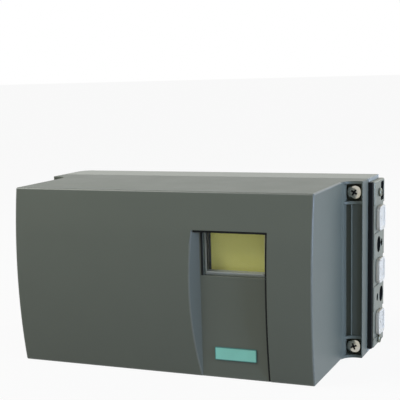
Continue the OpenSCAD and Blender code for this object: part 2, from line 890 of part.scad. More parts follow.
module exhaust_silencer() {
    lip_t = 2;
    color("#a07a3c")
        translate([silencer_x, base_front_y / 2, -half_h]) {
            cylinder(r = silencer_r, h = wall + lip_t);
            translate([0, 0, wall])
                cylinder(r = silencer_r + silencer_lip, h = lip_t);
        }
}

module gland_body() {
    color("#2b2d2f")
        difference() {
            union() {
                rod_x(entry_r, [gland_flange_x - gland_flange_t, -case_x + entry_depth], -entry_y, -entry_z);
                hex_x(gland_flats, [gland_flange_x - gland_flange_t, gland_flange_x], -entry_y, -entry_z);
                rod_x(gland_stub_r, [gland_end_x, gland_flange_x], -entry_y, -entry_z);
            }
            rod_x(gland_bore_r, [gland_end_x - cut, -case_x + entry_depth + cut], -entry_y, -entry_z);
        }
}

module gland_seal() {
    color("#1c1c1c")
        ring_x(gland_bore_r - seat_fit, cable_r, [gland_end_x, gland_end_x + gland_seal_len],
            -entry_y, -entry_z);
}

module entry_seals() {
    color("#161616")
        for (sz = [-1, 1]) {
            ring_x(entry_r + entry_seal_w, entry_r + seat_fit, [gland_flange_x, entry_seat_x],
                -entry_y, sz * entry_z);
        }
}

module gland_nut() {
    nut_x = gland_flange_x - gland_flange_t - gland_nut_gap;
    color("#2b2d2f")
        difference() {
            hex_x(gland_flats, [nut_x - gland_nut_len, nut_x], -entry_y, -entry_z);
            rod_x(gland_stub_r + run_fit, [gland_end_x - move_gap, nut_x + cut], -entry_y, -entry_z);
            rod_x(cable_r + gland_nut_wall, [nut_x - gland_nut_len - cut, nut_x + cut], -entry_y, -entry_z);
        }
}

module blanking_plug() {
    slot_w = 2;
    slot_d = 2;
    head_x = gland_flange_x - blank_head_t;
    color("#2b2d2f")
        difference() {
            union() {
                rod_x(entry_r, [head_x + slot_d, -case_x + entry_depth], -entry_y, entry_z);
                rod_x(gland_flats / 2, [head_x, gland_flange_x], -entry_y, entry_z);
            }
            span([head_x - cut, head_x + slot_d], [-entry_y - gland_flats, -entry_y + gland_flats],
                [entry_z - slot_w / 2, entry_z + slot_w / 2]);
        }
}

module potentiometer() {
    color("#35506b")
        difference() {
            union() {
                span([pot_x - pot_side / 2, pot_x + pot_side / 2], pot_body_y,
                    [-pot_side / 2, pot_side / 2]);
                rod_y(pot_neck_r, [bracket_y - pot_neck_proud, bracket_back_y + cut], pot_x);
            }
            rod_y(pot_shaft_r + run_fit, [bracket_y - cut, pot_body_y[1] - pot_floor], pot_x);
        }
}

module pot_bracket() {
    color("#b9bcbe")
        difference() {
            union() {
                span([pot_x - bracket_side, pot_x + bracket_side], [bracket_y, bracket_back_y],
                    [-bracket_leg_z - bracket_leg_r, bracket_leg_z + bracket_leg_r]);
                for (sz = [-1, 1]) {
                    rod_y(bracket_leg_r, [bracket_y, rear_inner_y], pot_x, sz * bracket_leg_z);
                }
            }
            rod_y(pot_neck_r + seat_fit, [bracket_y - cut, bracket_back_y + cut], pot_x);
            for (sz = [-1, 1]) {
                rod_y(small_screw_r + hole_fit, [bracket_y - cut, rear_inner_y + cut],
                    pot_x, sz * bracket_leg_z);
            }
        }
}

module bracket_screws() {
    color("#9a9d9f")
        for (sz = [-1, 1]) {
            translate([pot_x, bracket_y, sz * bracket_leg_z])
                cross_screw(small_head_r, small_head_t, small_screw_r,
                    rear_inner_y - bracket_y + screw_grip - move_gap);
        }
}

// Opening over the friction wheel and the ratio selector
module wheel_opening(y) {
    rod_y(wheel_access_r, y);
    span([-selector_slot_x, selector_slot_x], y, [-selector_slot_z, 0]);
}

module electronics_carrier() {
    rail_z = ratio_l / 2 + run_fit;
    color("#4a4d50")
        difference() {
            union() {
                difference() {
                    span(carrier_x, [carrier_y, carrier_back_y], [-carrier_z, carrier_z]);
                    rod_y(wheel_access_r, [carrier_y - cut, carrier_back_y + cut]);
                }
                for (spot = stand_spots) {
                    rod_y(small_screw_r + stand_boss_wall, [board_back_y, carrier_back_y], spot[0], spot[1]);
                }
                for (sz = [-1, 1]) {
                    low_z = ratio_z + (sz > 0 ? rail_z : -rail_z - rail_t);
                    span([-selector_slot_x + move_gap, selector_slot_x - move_gap],
                        [carrier_y - rail_h, carrier_back_y], [low_z, low_z + rail_t]);
                }
            }
            for (spot = post_spots) {
                rod_y(small_screw_r + hole_fit, [carrier_y - cut, carrier_back_y + cut], spot[0], spot[1]);
            }
            for (spot = stand_spots) {
                rod_y(small_screw_r + seat_fit, [board_back_y - cut, carrier_back_y + cut],
                    spot[0], spot[1]);
            }
        }
}

module carrier_screws() {
    color("#9a9d9f")
        for (spot = post_spots) {
            translate([spot[0], carrier_y, spot[1]])
                cross_screw(small_head_r, small_head_t, small_screw_r,
                    carrier_t + post_screw_len - screw_tip_gap);
        }
}

module main_board() {
    head_room = 1;
    color("#2f6b46")
        difference() {
            span(board_x, [board_y, board_back_y], [-board_z, board_z]);
            wheel_opening([board_y - cut, board_back_y + cut]);
            for (spot = stand_spots) {
                rod_y(small_screw_r + hole_fit, [board_y - cut, board_back_y + cut], spot[0], spot[1]);
            }
            for (spot = post_spots) {
                rod_y(small_head_r + head_room, [board_y - cut, board_back_y + cut], spot[0], spot[1]);
            }
        }
}

module board_components() {
    chip_w = 9;
    chip_t = 2;
    chip_l = 13;
    chip_in = 2.5;
    chip_x = board_x[0] + chip_in;
    chip_z = 8;
    capacitor_r = 4;
    capacitor_h = 7;
    capacitor_gap = 2;
    plug_w = 14;
    plug_h = 6;
    relay_w = 12;
    relay_h = 7.6;
    relay_l = 14;
    part_gap = 2;
    relay_x = window_x - relay_w / 3;
    relay_z = button_z - switch_side / 2 - part_gap - relay_l;
    plug_x = relay_x - part_gap - plug_w;
    color("#222426") {
        for (z = [chip_z, -chip_z - chip_l]) {
            span([chip_x, chip_x + chip_w], [board_y - chip_t, board_y], [z, z + chip_l]);
        }
        rod_y(capacitor_r, [board_y - capacitor_h, board_y],
            -wheel_access_r - capacitor_r - capacitor_gap, 0);
        span([plug_x, plug_x + plug_w], [board_y - plug_h, board_y], [relay_z, relay_z + plug_h]);
        span([relay_x, relay_x + relay_w], [board_y - relay_h, board_y], [relay_z, relay_z + relay_l]);
    }
}

module board_standoffs() {
    color("#c8a24a")
        for (spot = stand_spots) {
            difference() {
                hex_y(stand_flats, [shield_back_y, board_y], spot[0], spot[1]);
                rod_y(small_screw_r + seat_fit, [shield_back_y - cut, shield_back_y + shield_screw_len],
                    spot[0], spot[1]);
            }
            rod_y(small_screw_r, [board_y - cut, board_y + stand_pin_len], spot[0], spot[1]);
        }
}

module lcd_module() {
    color("#d7d8d2")
        span([window_x - display_half_x, window_x + display_half_x], [display_back_y, board_y],
            [window_z - display_half_z, window_z + display_half_z]);
}

module lcd_glass() {
    color("#9a9a5c")
        span([window_left, window_right], [display_y, display_back_y], [window_low, window_high]);
}

module tact_switches() {
    color("#222426")
        for (x = button_spots) {
            span([x - switch_side / 2, x + switch_side / 2], [switch_tip_y + switch_tip_t, board_y],
                [button_z - switch_side / 2, button_z + switch_side / 2]);
            rod_y(switch_tip_r, [switch_tip_y, board_y], x, button_z);
        }
}

module shield_plate() {
    frame_gap = 0.5;
    half_x = display_half_x + frame_gap;
    half_z = display_half_z + frame_gap;
    through = [shield_y - cut, shield_back_y + cut];
    color("#b9bcbe")
        difference() {
            span(board_x, [shield_y, shield_back_y], [-board_z, board_z]);
            wheel_opening(through);
            span([window_x - half_x, window_x + half_x], through, [window_z - half_z, window_z + half_z]);
            for (x = button_spots) {
                rod_y(button_r + run_fit, through, x, button_z);
            }
            for (spot = stand_spots) {
                rod_y(small_screw_r + hole_fit, through, spot[0], spot[1]);
            }
        }
}

module shield_screws() {
    color("#9a9d9f")
        for (spot = stand_spots) {
            translate([spot[0], shield_y, spot[1]])
                cross_screw(small_head_r, small_head_t, small_screw_r,
                    shield_t + shield_screw_len - screw_tip_gap);
        }
}

module terminal_block() {
    entry_hole_r = 2;
    entry_hole_len = 7;
    color("#5d7a4f")
        difference() {
            span(terminal_x, [terminal_y, carrier_y], [-terminal_half_z, terminal_half_z]);
            for (z = terminal_spots) {
                rod_x(entry_hole_r, [terminal_x[0] - cut, terminal_x[0] + entry_hole_len],
                    carrier_y - terminal_h / 3, z);
                rod_y(terminal_head_r + run_fit, [terminal_y - cut, terminal_y + terminal_sink],
                    terminal_mid_x, z);
                rod_y(terminal_screw_r + seat_fit, [terminal_y, terminal_y + terminal_hole_len],
                    terminal_mid_x, z);
            }
        }
}

module terminal_screws() {
    head_t = 1.8;
    color("#9a9d9f")
        for (z = terminal_spots) {
            translate([terminal_mid_x, terminal_y + terminal_sink, z])
                cross_screw(terminal_head_r, head_t, terminal_screw_r, terminal_screw_len);
        }
}

module feedback_shaft() {
    end_r = shaft_r - shaft_end_step;
    color("#b9bcbe")
        difference() {
            union() {
                rod_y(journal_r, [shaft_tip_y, 0]);
                rod_y(shaft_r, [-cut, shaft_out - shaft_end_len]);
                rod_y(end_r, [0, shaft_out]);
                rod_y(collar_r, [collar_y, collar_y + collar_t]);
                rod_y(clutch_collar_r, [clutch_collar_y, clutch_collar_y + clutch_collar_t]);
            }
            span([-shaft_r, shaft_r], [shaft_out - shaft_end_len, shaft_out + cut],
                [end_r - shaft_flat, shaft_r + cut]);
            ring_y(journal_r + cut, journal_r - circlip_groove, [circlip_y, circlip_y + circlip_t]);
        }
}

module drive_gear() {
    color("#d8d6c8")
        difference() {
            union() {
                toothed_disc(drive_teeth, [gear_y, collar_y]);
                rod_y(gear_hub_r, [gear_y - gear_hub_t, collar_y]);
            }
            rod_y(journal_r + seat_fit, [gear_y - gear_hub_t - cut, collar_y + cut]);
        }
}

// Two disc springs, back to back
module clutch_spring() {
    inner = journal_r + seat_fit;
    outer = clutch_collar_r + 1;
    dish = [[inner, spring_rise], [outer, 0], [outer, spring_t], [inner, spring_rise + spring_t]];
    color("#9a9d9f")
        translate([0, spring_y + spring_h / 2, 0])
            for (turn = [90, -90]) {
                rotate([turn, 0, 0])
                    translate([0, 0, spring_part])
                        rotate_extrude()
                            polygon(dish);
            }
}

module shaft_circlip() {
    gap_w = 3;
    lug_r = journal_r - circlip_groove;
    color("#4a4d50")
        difference() {
            ring_y(lug_r + circlip_w, lug_r, [circlip_y, circlip_y + circlip_t]);
            span([-gap_w / 2, gap_w / 2], [circlip_y - cut, circlip_y + circlip_t + cut],
                [0, journal_r + circlip_w + cut]);
        }
}

module friction_wheel() {
    grips = 24;
    grip_r = 1;
    dish_rim = 2.5;
    dish_depth = 2;
    color("#d9b52a")
        difference() {
            rod_y(wheel_r, [wheel_y, wheel_back_y]);
            rod_y(journal_r + run_fit, [wheel_y - cut, wheel_back_y + cut]);
            ring_y(wheel_r - grip_r - dish_rim, clutch_collar_r, [wheel_y - cut, wheel_y + dish_depth]);
            for (k = [0 : grips - 1]) {
                rod_y(grip_r, [wheel_y - cut, wheel_back_y + cut],
                    wheel_r * cos(k * 360 / grips), wheel_r * sin(k * 360 / grips));
            }
        }
}

module pot_shaft() {
    tip = 1;
    color("#b9bcbe")
        rod_y(pot_shaft_r, [gear_y - tip, pot_body_y[1] - pot_floor - move_gap], pot_x);
}

module pot_pinion() {
    color("#d8d6c8")
        translate([pot_x, 0, 0])
            difference() {
                rotate([0, 180 / pinion_teeth, 0])
                    toothed_disc(pinion_teeth, [gear_y, collar_y]);
                rod_y(pot_shaft_r + seat_fit, [gear_y - cut, collar_y + cut]);
            }
}

module ratio_selector() {
    low_x = -ratio_w / 2 - ratio_travel / 2;
    rib_t = 1;
    rib_h = 1.5;
    rear = carrier_y - rest_gap;
    front = rear - ratio_h;
    color("#d9b52a") {
        span([low_x, low_x + ratio_w], [front, rear],
            [ratio_z - ratio_l / 2, ratio_z + ratio_l / 2]);
        for (share = [0.25, 0.5, 0.75]) {
            span([low_x + share * ratio_w - rib_t / 2, low_x + share * ratio_w + rib_t / 2],
                [front - rib_h, rear], [ratio_z - ratio_l / 2, ratio_z + ratio_l / 2]);
        }
    }
}

// Push button with a flange behind the shield plate
module push_button(x) {
    flange_front = shield_back_y + rest_gap;
    rod_y(button_r, [shield_y - button_proud, button_rear_y], x, button_z);
    rod_y(button_r + button_flange, [flange_front, flange_front + button_flange_t], x, button_z);
}

module button_mode() {
    color("#c9ccd0")
        push_button(button_spots[0]);
}

module button_down() {
    color("#c9ccd0")
        push_button(button_spots[1]);
}

module button_up() {
    color("#c9ccd0")
        push_button(button_spots[2]);
}

// Restrictor screw with a slotted head
module restrictor(z) {
    slot_w = 1;
    seat_y = manifold_y[0] - rest_gap;
    difference() {
        union() {
            rod_y(restrictor_head_r, [seat_y - restrictor_head_t, seat_y], trim_x, z);
            rod_y(restrictor_r, [seat_y - restrictor_head_t / 4, seat_y + restrictor_len], trim_x, z);
        }
        span([trim_x - restrictor_head_r - cut, trim_x + restrictor_head_r + cut],
            [seat_y - restrictor_head_t - cut, seat_y - restrictor_head_t / 2],
            [z - slot_w / 2, z + slot_w / 2]);
    }
}

module restrictor_upper() {
    color("#c8a24a")
        restrictor(restrictor_z[0]);
}

module restrictor_lower() {
    color("#c8a24a")
        restrictor(restrictor_z[1]);
}

module purge_selector() {
    proud = 3;
    knob = selector_len / 2;
    low_z = selector_z + move_gap;
    half = selector_w / 2 - run_fit;
    color("#d9b52a") {
        span([trim_x - half, trim_x + half], [manifold_y[0], manifold_y[0] + selector_deep - rest_gap],
            [low_z, low_z + selector_len]);
        span([trim_x - half, trim_x + half], [manifold_y[0] - proud, manifold_y[0] + selector_deep / 2],
            [low_z + (selector_len - knob) / 2, low_z + (selector_len + knob) / 2]);
    }
}

// Hollow between a side wall and its flange
module flange_hollow(side) {
    low = min(side * cover_x, side * (cover_x + flange_fillet));
    difference() {
        span([low, low + flange_fillet], [flange_y - flange_fillet, flange_y + cut], [-half_h, half_h]);
        translate([side * (cover_x + flange_fillet), flange_y - flange_fillet, -half_h - cut])
            cylinder(r = flange_fillet, h = body_h + 2 * cut);
    }
}

// Case with the bowed front, without its flanges
module bowed_block(inset, rear) {
    intersection() {
        span([-cover_x + inset, cover_x - inset], [front_y - cut, rear], [-half_h + inset, half_h - inset]);
        rod_x(bow_r - inset, [-cover_x - cut, cover_x + cut], bow_y);
    }
}

// Pockets for the screws and the ribbed channel between them, on the right flange
module flange_cuts() {
    cut_x = [cover_x + pocket_wall, case_x - pocket_lip];
    rib_x = cover_x + rib_out;
    front = flange_y - flange_fillet - cut;
    floor_y = flange_y + channel_depth;
    channel_z = [-bar_z + bar_t, bar_z - bar_t];
    for (low = [0, 1]) {
        mirror([0, 0, low])
            span(cut_x, [front, pocket_y], [bar_z, pocket_z]);
    }
    difference() {
        span(cut_x, [front, floor_y], channel_z);
        span([rib_x, rib_x + rib_w], [flange_y, floor_y + cut], channel_z);
    }
}

// Outline of the sunk band, or of the wall behind it, from its floor out past the front
function band_outline(inset) =
    let (
        slant = band_y - front_y + cut,
        floor_y = band_y + inset,
        left = band_left + inset - inset * sqrt(2),
        right = band_right + inset
    )
    [[left - slant - inset, front_y - cut], [left, floor_y], [right, floor_y], [right, front_y - cut]];

module cover_shell() {
    color("#5f665c")
        difference() {
            union() {
                difference() {
                    union() {
                        bowed_block(0, cover_rear_y);
                        span([-case_x, case_x], [flange_y, cover_rear_y], [-half_h, half_h]);
                        for (side = [-1, 1]) {
                            flange_hollow(side);
                        }
                    }
                    bowed_block(wall, cover_rear_y + cut);
                }
                intersection() {
                    bowed_block(0, cover_rear_y);
                    translate([0, 0, -half_h])
                        linear_extrude(half_h + band_top + wall)
                            polygon(band_outline(wall));
                }
            }
            translate([0, 0, -half_h - cut])
                linear_extrude(half_h + cut + band_top)
                    polygon(band_outline(0));
            span([window_left, window_right], [band_y - cut, band_back_y + cut], [window_low, window_high]);
            span([band_right - groove_w, band_right], [band_y - cut, band_y + groove_d],
                [-half_h - cut, band_top]);
            span([band_left, band_right], [band_y - cut, band_y + groove_d], [window_high, band_top]);
            for (left = [0, 1]) {
                mirror([left, 0, 0])
                    flange_cuts();
            }
            for (spot = screw_spots) {
                rod_y(cover_screw_r + hole_fit, [pocket_y - cut, cover_rear_y + cut], spot[0], spot[1]);
                rod_y(cover_screw_r + run_fit + retainer_w + seat_fit,
                    [cover_rear_y - retainer_seat, cover_rear_y + cut], spot[0], spot[1]);
            }
        }
}

module display_window() {
    front = band_y + pane_set;
    left = window_left + run_fit;
    right = window_right - run_fit;
    low = window_low + run_fit;
    high = window_high - run_fit;
    rise = front + pane_bevel_depth;
    rear = window_flange_y + pane_flange_t;
    color([0.75, 0.85, 0.85, 0.4]) {
        intersection() {
            translate([0, 0, low])
                linear_extrude(high - low)
                    polygon([
                        [left, rear], [left, rise], [left + pane_bevel, front],
                        [right - pane_bevel, front], [right, rise], [right, rear]
                    ]);
            translate([left, 0, 0])
                rotate([90, 0, 90])
                    linear_extrude(right - left)
                        polygon([
                            [rear, low], [rise, low], [front, low + pane_bevel],
                            [front, high - pane_bevel], [rise, high], [rear, high]
                        ]);
        }
        span([left - pane_flange, right + pane_flange], [window_flange_y, rear],
            [low - pane_flange, high + pane_flange]);
    }
}

module window_seal() {
    color("#161616")
        difference() {
            span([window_left - pane_flange, window_right + pane_flange], [band_back_y, window_flange_y],
                [window_low - pane_flange, window_high + pane_flange]);
            span([window_left, window_right], [band_back_y - cut, window_flange_y + cut],
                [window_low, window_high]);
        }
}

module name_plate() {
    color("#82cdbe")
        span([plate_x - plate_w / 2, plate_x + plate_w / 2], [band_y - plate_t, band_y],
            [plate_z - plate_h / 2, plate_z + plate_h / 2]);
}

module cover_screws() {
    reach = cover_rear_y - pocket_y + joint_gap + screw_reach;
    color("#c4c7c9")
        for (spot = screw_spots) {
            translate([spot[0], pocket_y, spot[1]])
                cross_screw(cover_head_r, cover_head_t, cover_screw_r, reach);
        }
}

module screw_retainers() {
    inner = cover_screw_r + run_fit;
    retainer_y = cover_rear_y - retainer_seat;
    color("#e4e4de")
        for (spot = screw_spots) {
            ring_y(inner + retainer_w, inner, [retainer_y, retainer_y + retainer_t], spot[0], spot[1]);
        }
}

// Dust plug in the notch over a port, with its spigot in the port's mouth
module port_plug(z) {
    rim = 1.6;
    dish_r = plug_r - rim;
    dish_d = 0.8;
    difference() {
        rod_x(plug_r, [notch_x + rest_gap, block_face_x + plug_out], -port_y, z);
        rod_x(dish_r, [block_face_x + plug_out - dish_d, block_face_x + plug_out + cut], -port_y, z);
    }
    rod_x(port_r + port_mouth - run_fit, [notch_x - plug_spigot, block_face_x], -port_y, z);
}

module port_plug_upper() {
    color("#e2e6e7")
        port_plug(port_z[0]);
}

module port_plug_middle() {
    color("#e2e6e7")
        port_plug(port_z[1]);
}

module port_plug_lower() {
    color("#e2e6e7")
        port_plug(port_z[2]);
}

base_housing();
mounting_inserts();
cover_inserts();
cover_seal();
shaft_bush_rear();
shaft_bush_front();
shaft_seal();
pneumatic_block();
block_seal();
block_screws();
valve_manifold();
manifold_screws();
pilot_valve_upper();
pilot_valve_lower();
exhaust_silencer();
gland_body();
gland_seal();
entry_seals();
blanking_plug();
potentiometer();
pot_bracket();
bracket_screws();
electronics_carrier();
carrier_screws();
main_board();
board_components();
board_standoffs();
lcd_module();
lcd_glass();
tact_switches();
shield_plate();
shield_screws();
terminal_block();
terminal_screws();
feedback_shaft();
drive_gear();
clutch_spring();
shaft_circlip();
friction_wheel();
pot_shaft();
pot_pinion();
ratio_selector();
button_mode();
button_down();
button_up();
restrictor_upper();
restrictor_lower();
purge_selector();
gland_nut();
cover_shell();
display_window();
window_seal();
name_plate();
cover_screws();
screw_retainers();
port_plug_upper();
port_plug_middle();
port_plug_lower();
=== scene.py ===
"""The look of a valve positioner: softened edges, finishes, screws, plugs and display, in metres."""
import json
from math import cos, pi, radians, sin

import bmesh
import bpy
from mathutils import Matrix, Vector


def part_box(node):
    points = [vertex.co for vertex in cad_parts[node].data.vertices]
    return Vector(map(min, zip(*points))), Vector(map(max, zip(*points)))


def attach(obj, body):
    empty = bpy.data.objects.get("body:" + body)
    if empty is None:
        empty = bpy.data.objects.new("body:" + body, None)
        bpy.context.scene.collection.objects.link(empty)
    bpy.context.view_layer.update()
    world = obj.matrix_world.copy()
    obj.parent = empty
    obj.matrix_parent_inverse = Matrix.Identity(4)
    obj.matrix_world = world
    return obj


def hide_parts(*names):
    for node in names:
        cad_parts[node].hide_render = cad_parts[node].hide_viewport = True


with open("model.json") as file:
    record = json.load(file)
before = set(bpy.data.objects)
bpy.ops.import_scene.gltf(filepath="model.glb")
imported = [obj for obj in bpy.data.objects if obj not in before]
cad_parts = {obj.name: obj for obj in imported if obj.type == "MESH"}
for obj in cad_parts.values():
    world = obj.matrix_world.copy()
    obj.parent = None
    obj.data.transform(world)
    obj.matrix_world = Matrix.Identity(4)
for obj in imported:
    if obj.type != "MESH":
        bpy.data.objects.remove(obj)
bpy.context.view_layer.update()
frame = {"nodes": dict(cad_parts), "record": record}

MM = 0.001
BODY_OF = {node: body for body, nodes in frame["record"]["behaviour"]["bodies"].items() for node in nodes}

# Corners of the case's nodes and of the display's glass, and two levels within the cover's corners
COVER_LOW, COVER_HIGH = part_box("cover_shell")
BASE_LOW, BASE_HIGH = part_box("base_housing")
BLOCK_LOW, BLOCK_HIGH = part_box("pneumatic_block")
GLASS_LOW, GLASS_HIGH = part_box("lcd_glass")
COVER_HALF = 82.5 * MM
COVER_EDGE_Y = -92.3 * MM

# Roundings of moulded, cast and cut edges
CASE_ROUND = 0.9 * MM
BLOCK_ROUND = 0.9 * MM
BAND_ROUND = 0.5 * MM
FINE_ROUND = 0.25 * MM
SHEET_ROUND = 0.12 * MM

# Angles from which an edge is rounded, up to which it is shaded smooth, and below which it is dissolved
SHARP_ANGLE = radians(32)
SMOOTH_ANGLE = radians(50)
FLAT_ANGLE = radians(0.8)

# Distances within which points are merged, an edge is at a level, and an edge is at the cover's front
MERGE = 0.001 * MM
NEAR = 0.2 * MM
NEAR_FRONT = 0.3 * MM

# How much of a face's normal points along the direction that it faces, at least
FACING = 0.9

# View of the photograph: angles about the middle of the cover's front, and distances
VIEW_AZIMUTH = radians(23.07)
VIEW_ELEVATION = radians(11.71)
VIEW_ROLL = radians(-1.64)
VIEW_DISTANCE = 511.4 * MM
VIEW_ASIDE = 21.0 * MM
VIEW_ABOVE = 1.5 * MM
VIEW_CLIP = 10.0 * MM
VIEW_LENS = 89.97
VIEW_SENSOR = 36
VIEW_SHIFT_UP = 0.2

# Light: what sees the white surroundings, the floor and the room's own level
SEEN_BY = ("Is Camera Ray", "Is Glossy Ray", "Is Transmission Ray")
FLOOR_GLOW = 0.93
FLOOR_SIZE = 40
FLOOR_GAP = 0.05 * MM
ROOM_LIGHT = 0.18

# Lamps: name, place, aim, size, power and colour
LAMPS = [
    ("top_lamp", (-0.5, -0.44, 0.72), (0, -0.05, 0), 0.5, 7.0, (1, 1, 0.94)),
    ("back_lamp", (0.6, 0.8, 0.6), (0, 0, 0), 0.5, 4.0, (1, 1, 1)),
    ("right_lamp", (0.9, -0.2, 0.06), (0.05, -0.05, 0), 0.4, 10.0, (0.53, 0.68, 1)),
]

# Sunk band of the cover's front, with the slope on its left
SLOPE_LEFT = 15.0 * MM
BAND_LEFT = 23.0 * MM
BAND_RIGHT = 59.5 * MM
BAND_TOP = 28.5 * MM
BAND_Y = -92.1 * MM

# Bow of the cover's front: an arc about a line along X
BOW_RISE = COVER_EDGE_Y - COVER_LOW.y
BOW_RADIUS = (COVER_HIGH.z ** 2 + BOW_RISE ** 2) / (2 * BOW_RISE)
BOW_SIDES = 720
BOW_WIDTH = 300 * MM

# Black strips of painted shadow set behind the bow: at the right wall of the band, and at its top above the
# window
SHADOW_STRIP_SET = 0.2 * MM
SHADOW_STRIP_DEPTH = 0.8 * MM
SHADOW_STRIP_BACK = 2.0 * MM
SHADOW_STRIP_GAP = 0.03 * MM
SHADOW_STRIP_FOOT = 0.3 * MM
BAND_SHADOW_WIDE = 0.9 * MM
WINDOW_SHADOW_HIGH = 1.1 * MM
WINDOW_SHADOW_PAST = 2.3 * MM

# Pane: height of its foot painted pale as a highlight, and how far a face turns left to be painted so too
PANE_FOOT = 2.2 * MM
PANE_SLANT = 0.3

# Black strip of painted shadow on the band's floor, beside the left of the display's glass
PANE_SHADOW_GAP = 0.1 * MM
PANE_SHADOW_WIDE = 1.2 * MM
PANE_SHADOW_PROUD = 0.25 * MM
PANE_SHADOW_SINK = 0.05 * MM
PANE_SHADOW_SHORT = 0.15 * MM
PANE_SHADOW_ROUND = 0.15 * MM

# Black frame stuck to the display's glass, wider on its right, where it also paints the shadow line along the
# window's right side
BEZEL_THICK = 0.35 * MM
BEZEL_GAP = 0.05 * MM
BEZEL_LEFT = 1.2 * MM
BEZEL_RIGHT = 1.9 * MM
BEZEL_END = 0.4 * MM
BEZEL_ROUND = 0.1 * MM

# Blank plate: its corners, and its raised border
PLATE_CORNER = 0.55 * MM
PLATE_BORDER = 0.4 * MM
PLATE_RAISE = 0.06 * MM
PLATE_ROUND = 0.05 * MM

# Raised marks on the buttons
MARK_RADIUS = 1.7 * MM
MARK_HIGH = 0.25 * MM
MARK_SINK = 0.05 * MM
MARK_TAPER = 0.88
MARK_ROUND = 0.08 * MM

# Dust plugs: the square head and its dish
PLUGS = ("port_plug_upper", "port_plug_middle", "port_plug_lower")
PLUG_HEAD = 2.0 * MM
PLUG_SIDE = 13.4 * MM
PLUG_CORNER = 3.0 * MM
PLUG_BORDER = 1.1 * MM
PLUG_DISH = 0.7 * MM
PLUG_DRAFT = 0.94
PLUG_ROUND = 0.28 * MM

# Dust plugs: the round skirt with its lead-in, and the pip by its radius and its height above the dish
SKIRT_RADIUS = 6.25 * MM
SKIRT_LEAD = 0.15 * MM
SKIRT_LEAD_LONG = 0.2 * MM
SKIRT_SIDES = 72
PIP_STEPS = [(1.1 * MM, 0.1 * MM), (0.9 * MM, 0.25 * MM), (0.5 * MM, 0.3 * MM)]

# Pneumatic block: middles and reach of its ports
PORTS = [sum(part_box(node), Vector()) / 2 for node in PLUGS]
PORT_REACH = 7.3 * MM

# Pneumatic block: how far the painted shade in its holes starts below the right face and ends above the left
# face
HOLE_MOUTH = 0.62 * MM
HOLE_END = 10.0 * MM

# Slot near the top of the pneumatic block's right face, painted black inside as shade
SLOT_REAR = -0.98 * MM
SLOT_WIDE = 7.4 * MM
SLOT_LOW = 33.9 * MM
SLOT_HIGH = 44.2 * MM
SLOT_DEPTH = 1.85 * MM
SLOT_CORNER = 1.3 * MM

# Screws: outline of the pan head and its cross, in shares of its radius and thickness
HEAD_STEPS = [(0.95, 0), (1, 0.1), (1, 0.52), (0.98, 0.65), (0.93, 0.77), (0.84, 0.87), (0.68, 0.945),
              (0.42, 0.985), (0.12, 1)]
CROSS_LONG = 1.1
CROSS_WIDE = 0.3
CROSS_DEEP = 0.65
CROSS_TAPER = 0.6

# Screws: radius and length of the shank's tapered end, in shares of its radius
SHANK_END = 0.6
SHANK_TAPER = 0.5

# Screws: sides of the round, and the turn from one screw to the next
SCREW_SIDES = 48
SCREW_TWIST = radians(37)

# Turns of a piece whose head points up, so that it points to the front or to the right
TO_FRONT = Matrix.Rotation(pi / 2, 4, "X")
TO_RIGHT = Matrix.Rotation(pi / 2, 4, "Y")


class Flow:
    """A socket of a node that can stand in a Python expression."""

    def __init__(self, nodes, socket):
        self.nodes = nodes
        self.socket = socket

    def __add__(self, other):
        return self.nodes.math("ADD", self, other)

    def __sub__(self, other):
        return self.nodes.math("SUBTRACT", self, other)

    def __rsub__(self, other):
        return self.nodes.math("SUBTRACT", other, self)

    def __mul__(self, other):
        return self.nodes.math("MULTIPLY", self, other)

    def __gt__(self, other):
        return self.nodes.math("GREATER_THAN", self, other)

    def __lt__(self, other):
        return self.nodes.math("LESS_THAN", self, other)

    __radd__ = __add__
    __rmul__ = __mul__


class Nodes:
    """A tree of nodes, each made by one method."""

    def __init__(self, tree):
        self.tree = tree

    def node(self, kind, settings=None, sockets=None, out=0):
        """Any node: its settings first, then the values or links of its sockets."""
        made = self.tree.nodes.new(kind)
        for name, value in (settings or {}).items():
            setattr(made, name, value)
        for name, value in (sockets or {}).items():
            if isinstance(value, Flow):
                self.link(value, made.inputs[name])
            else:
                made.inputs[name].default_value = value
        return Flow(self, made.outputs[out])

    def link(self, flow, socket):
        self.tree.links.new(flow.socket, socket)

    def math(self, operation, first, second):
        return self.node("ShaderNodeMath", {"operation": operation}, {0: first, 1: second})

    def seen_white(self):
        """1 for the rays that see the white surroundings, 0 for the light that falls on the object."""
        ways = [self.node("ShaderNodeLightPath", out=way) for way in SEEN_BY]
        return self.math("MAXIMUM", self.math("MAXIMUM", ways[0], ways[1]), ways[2])


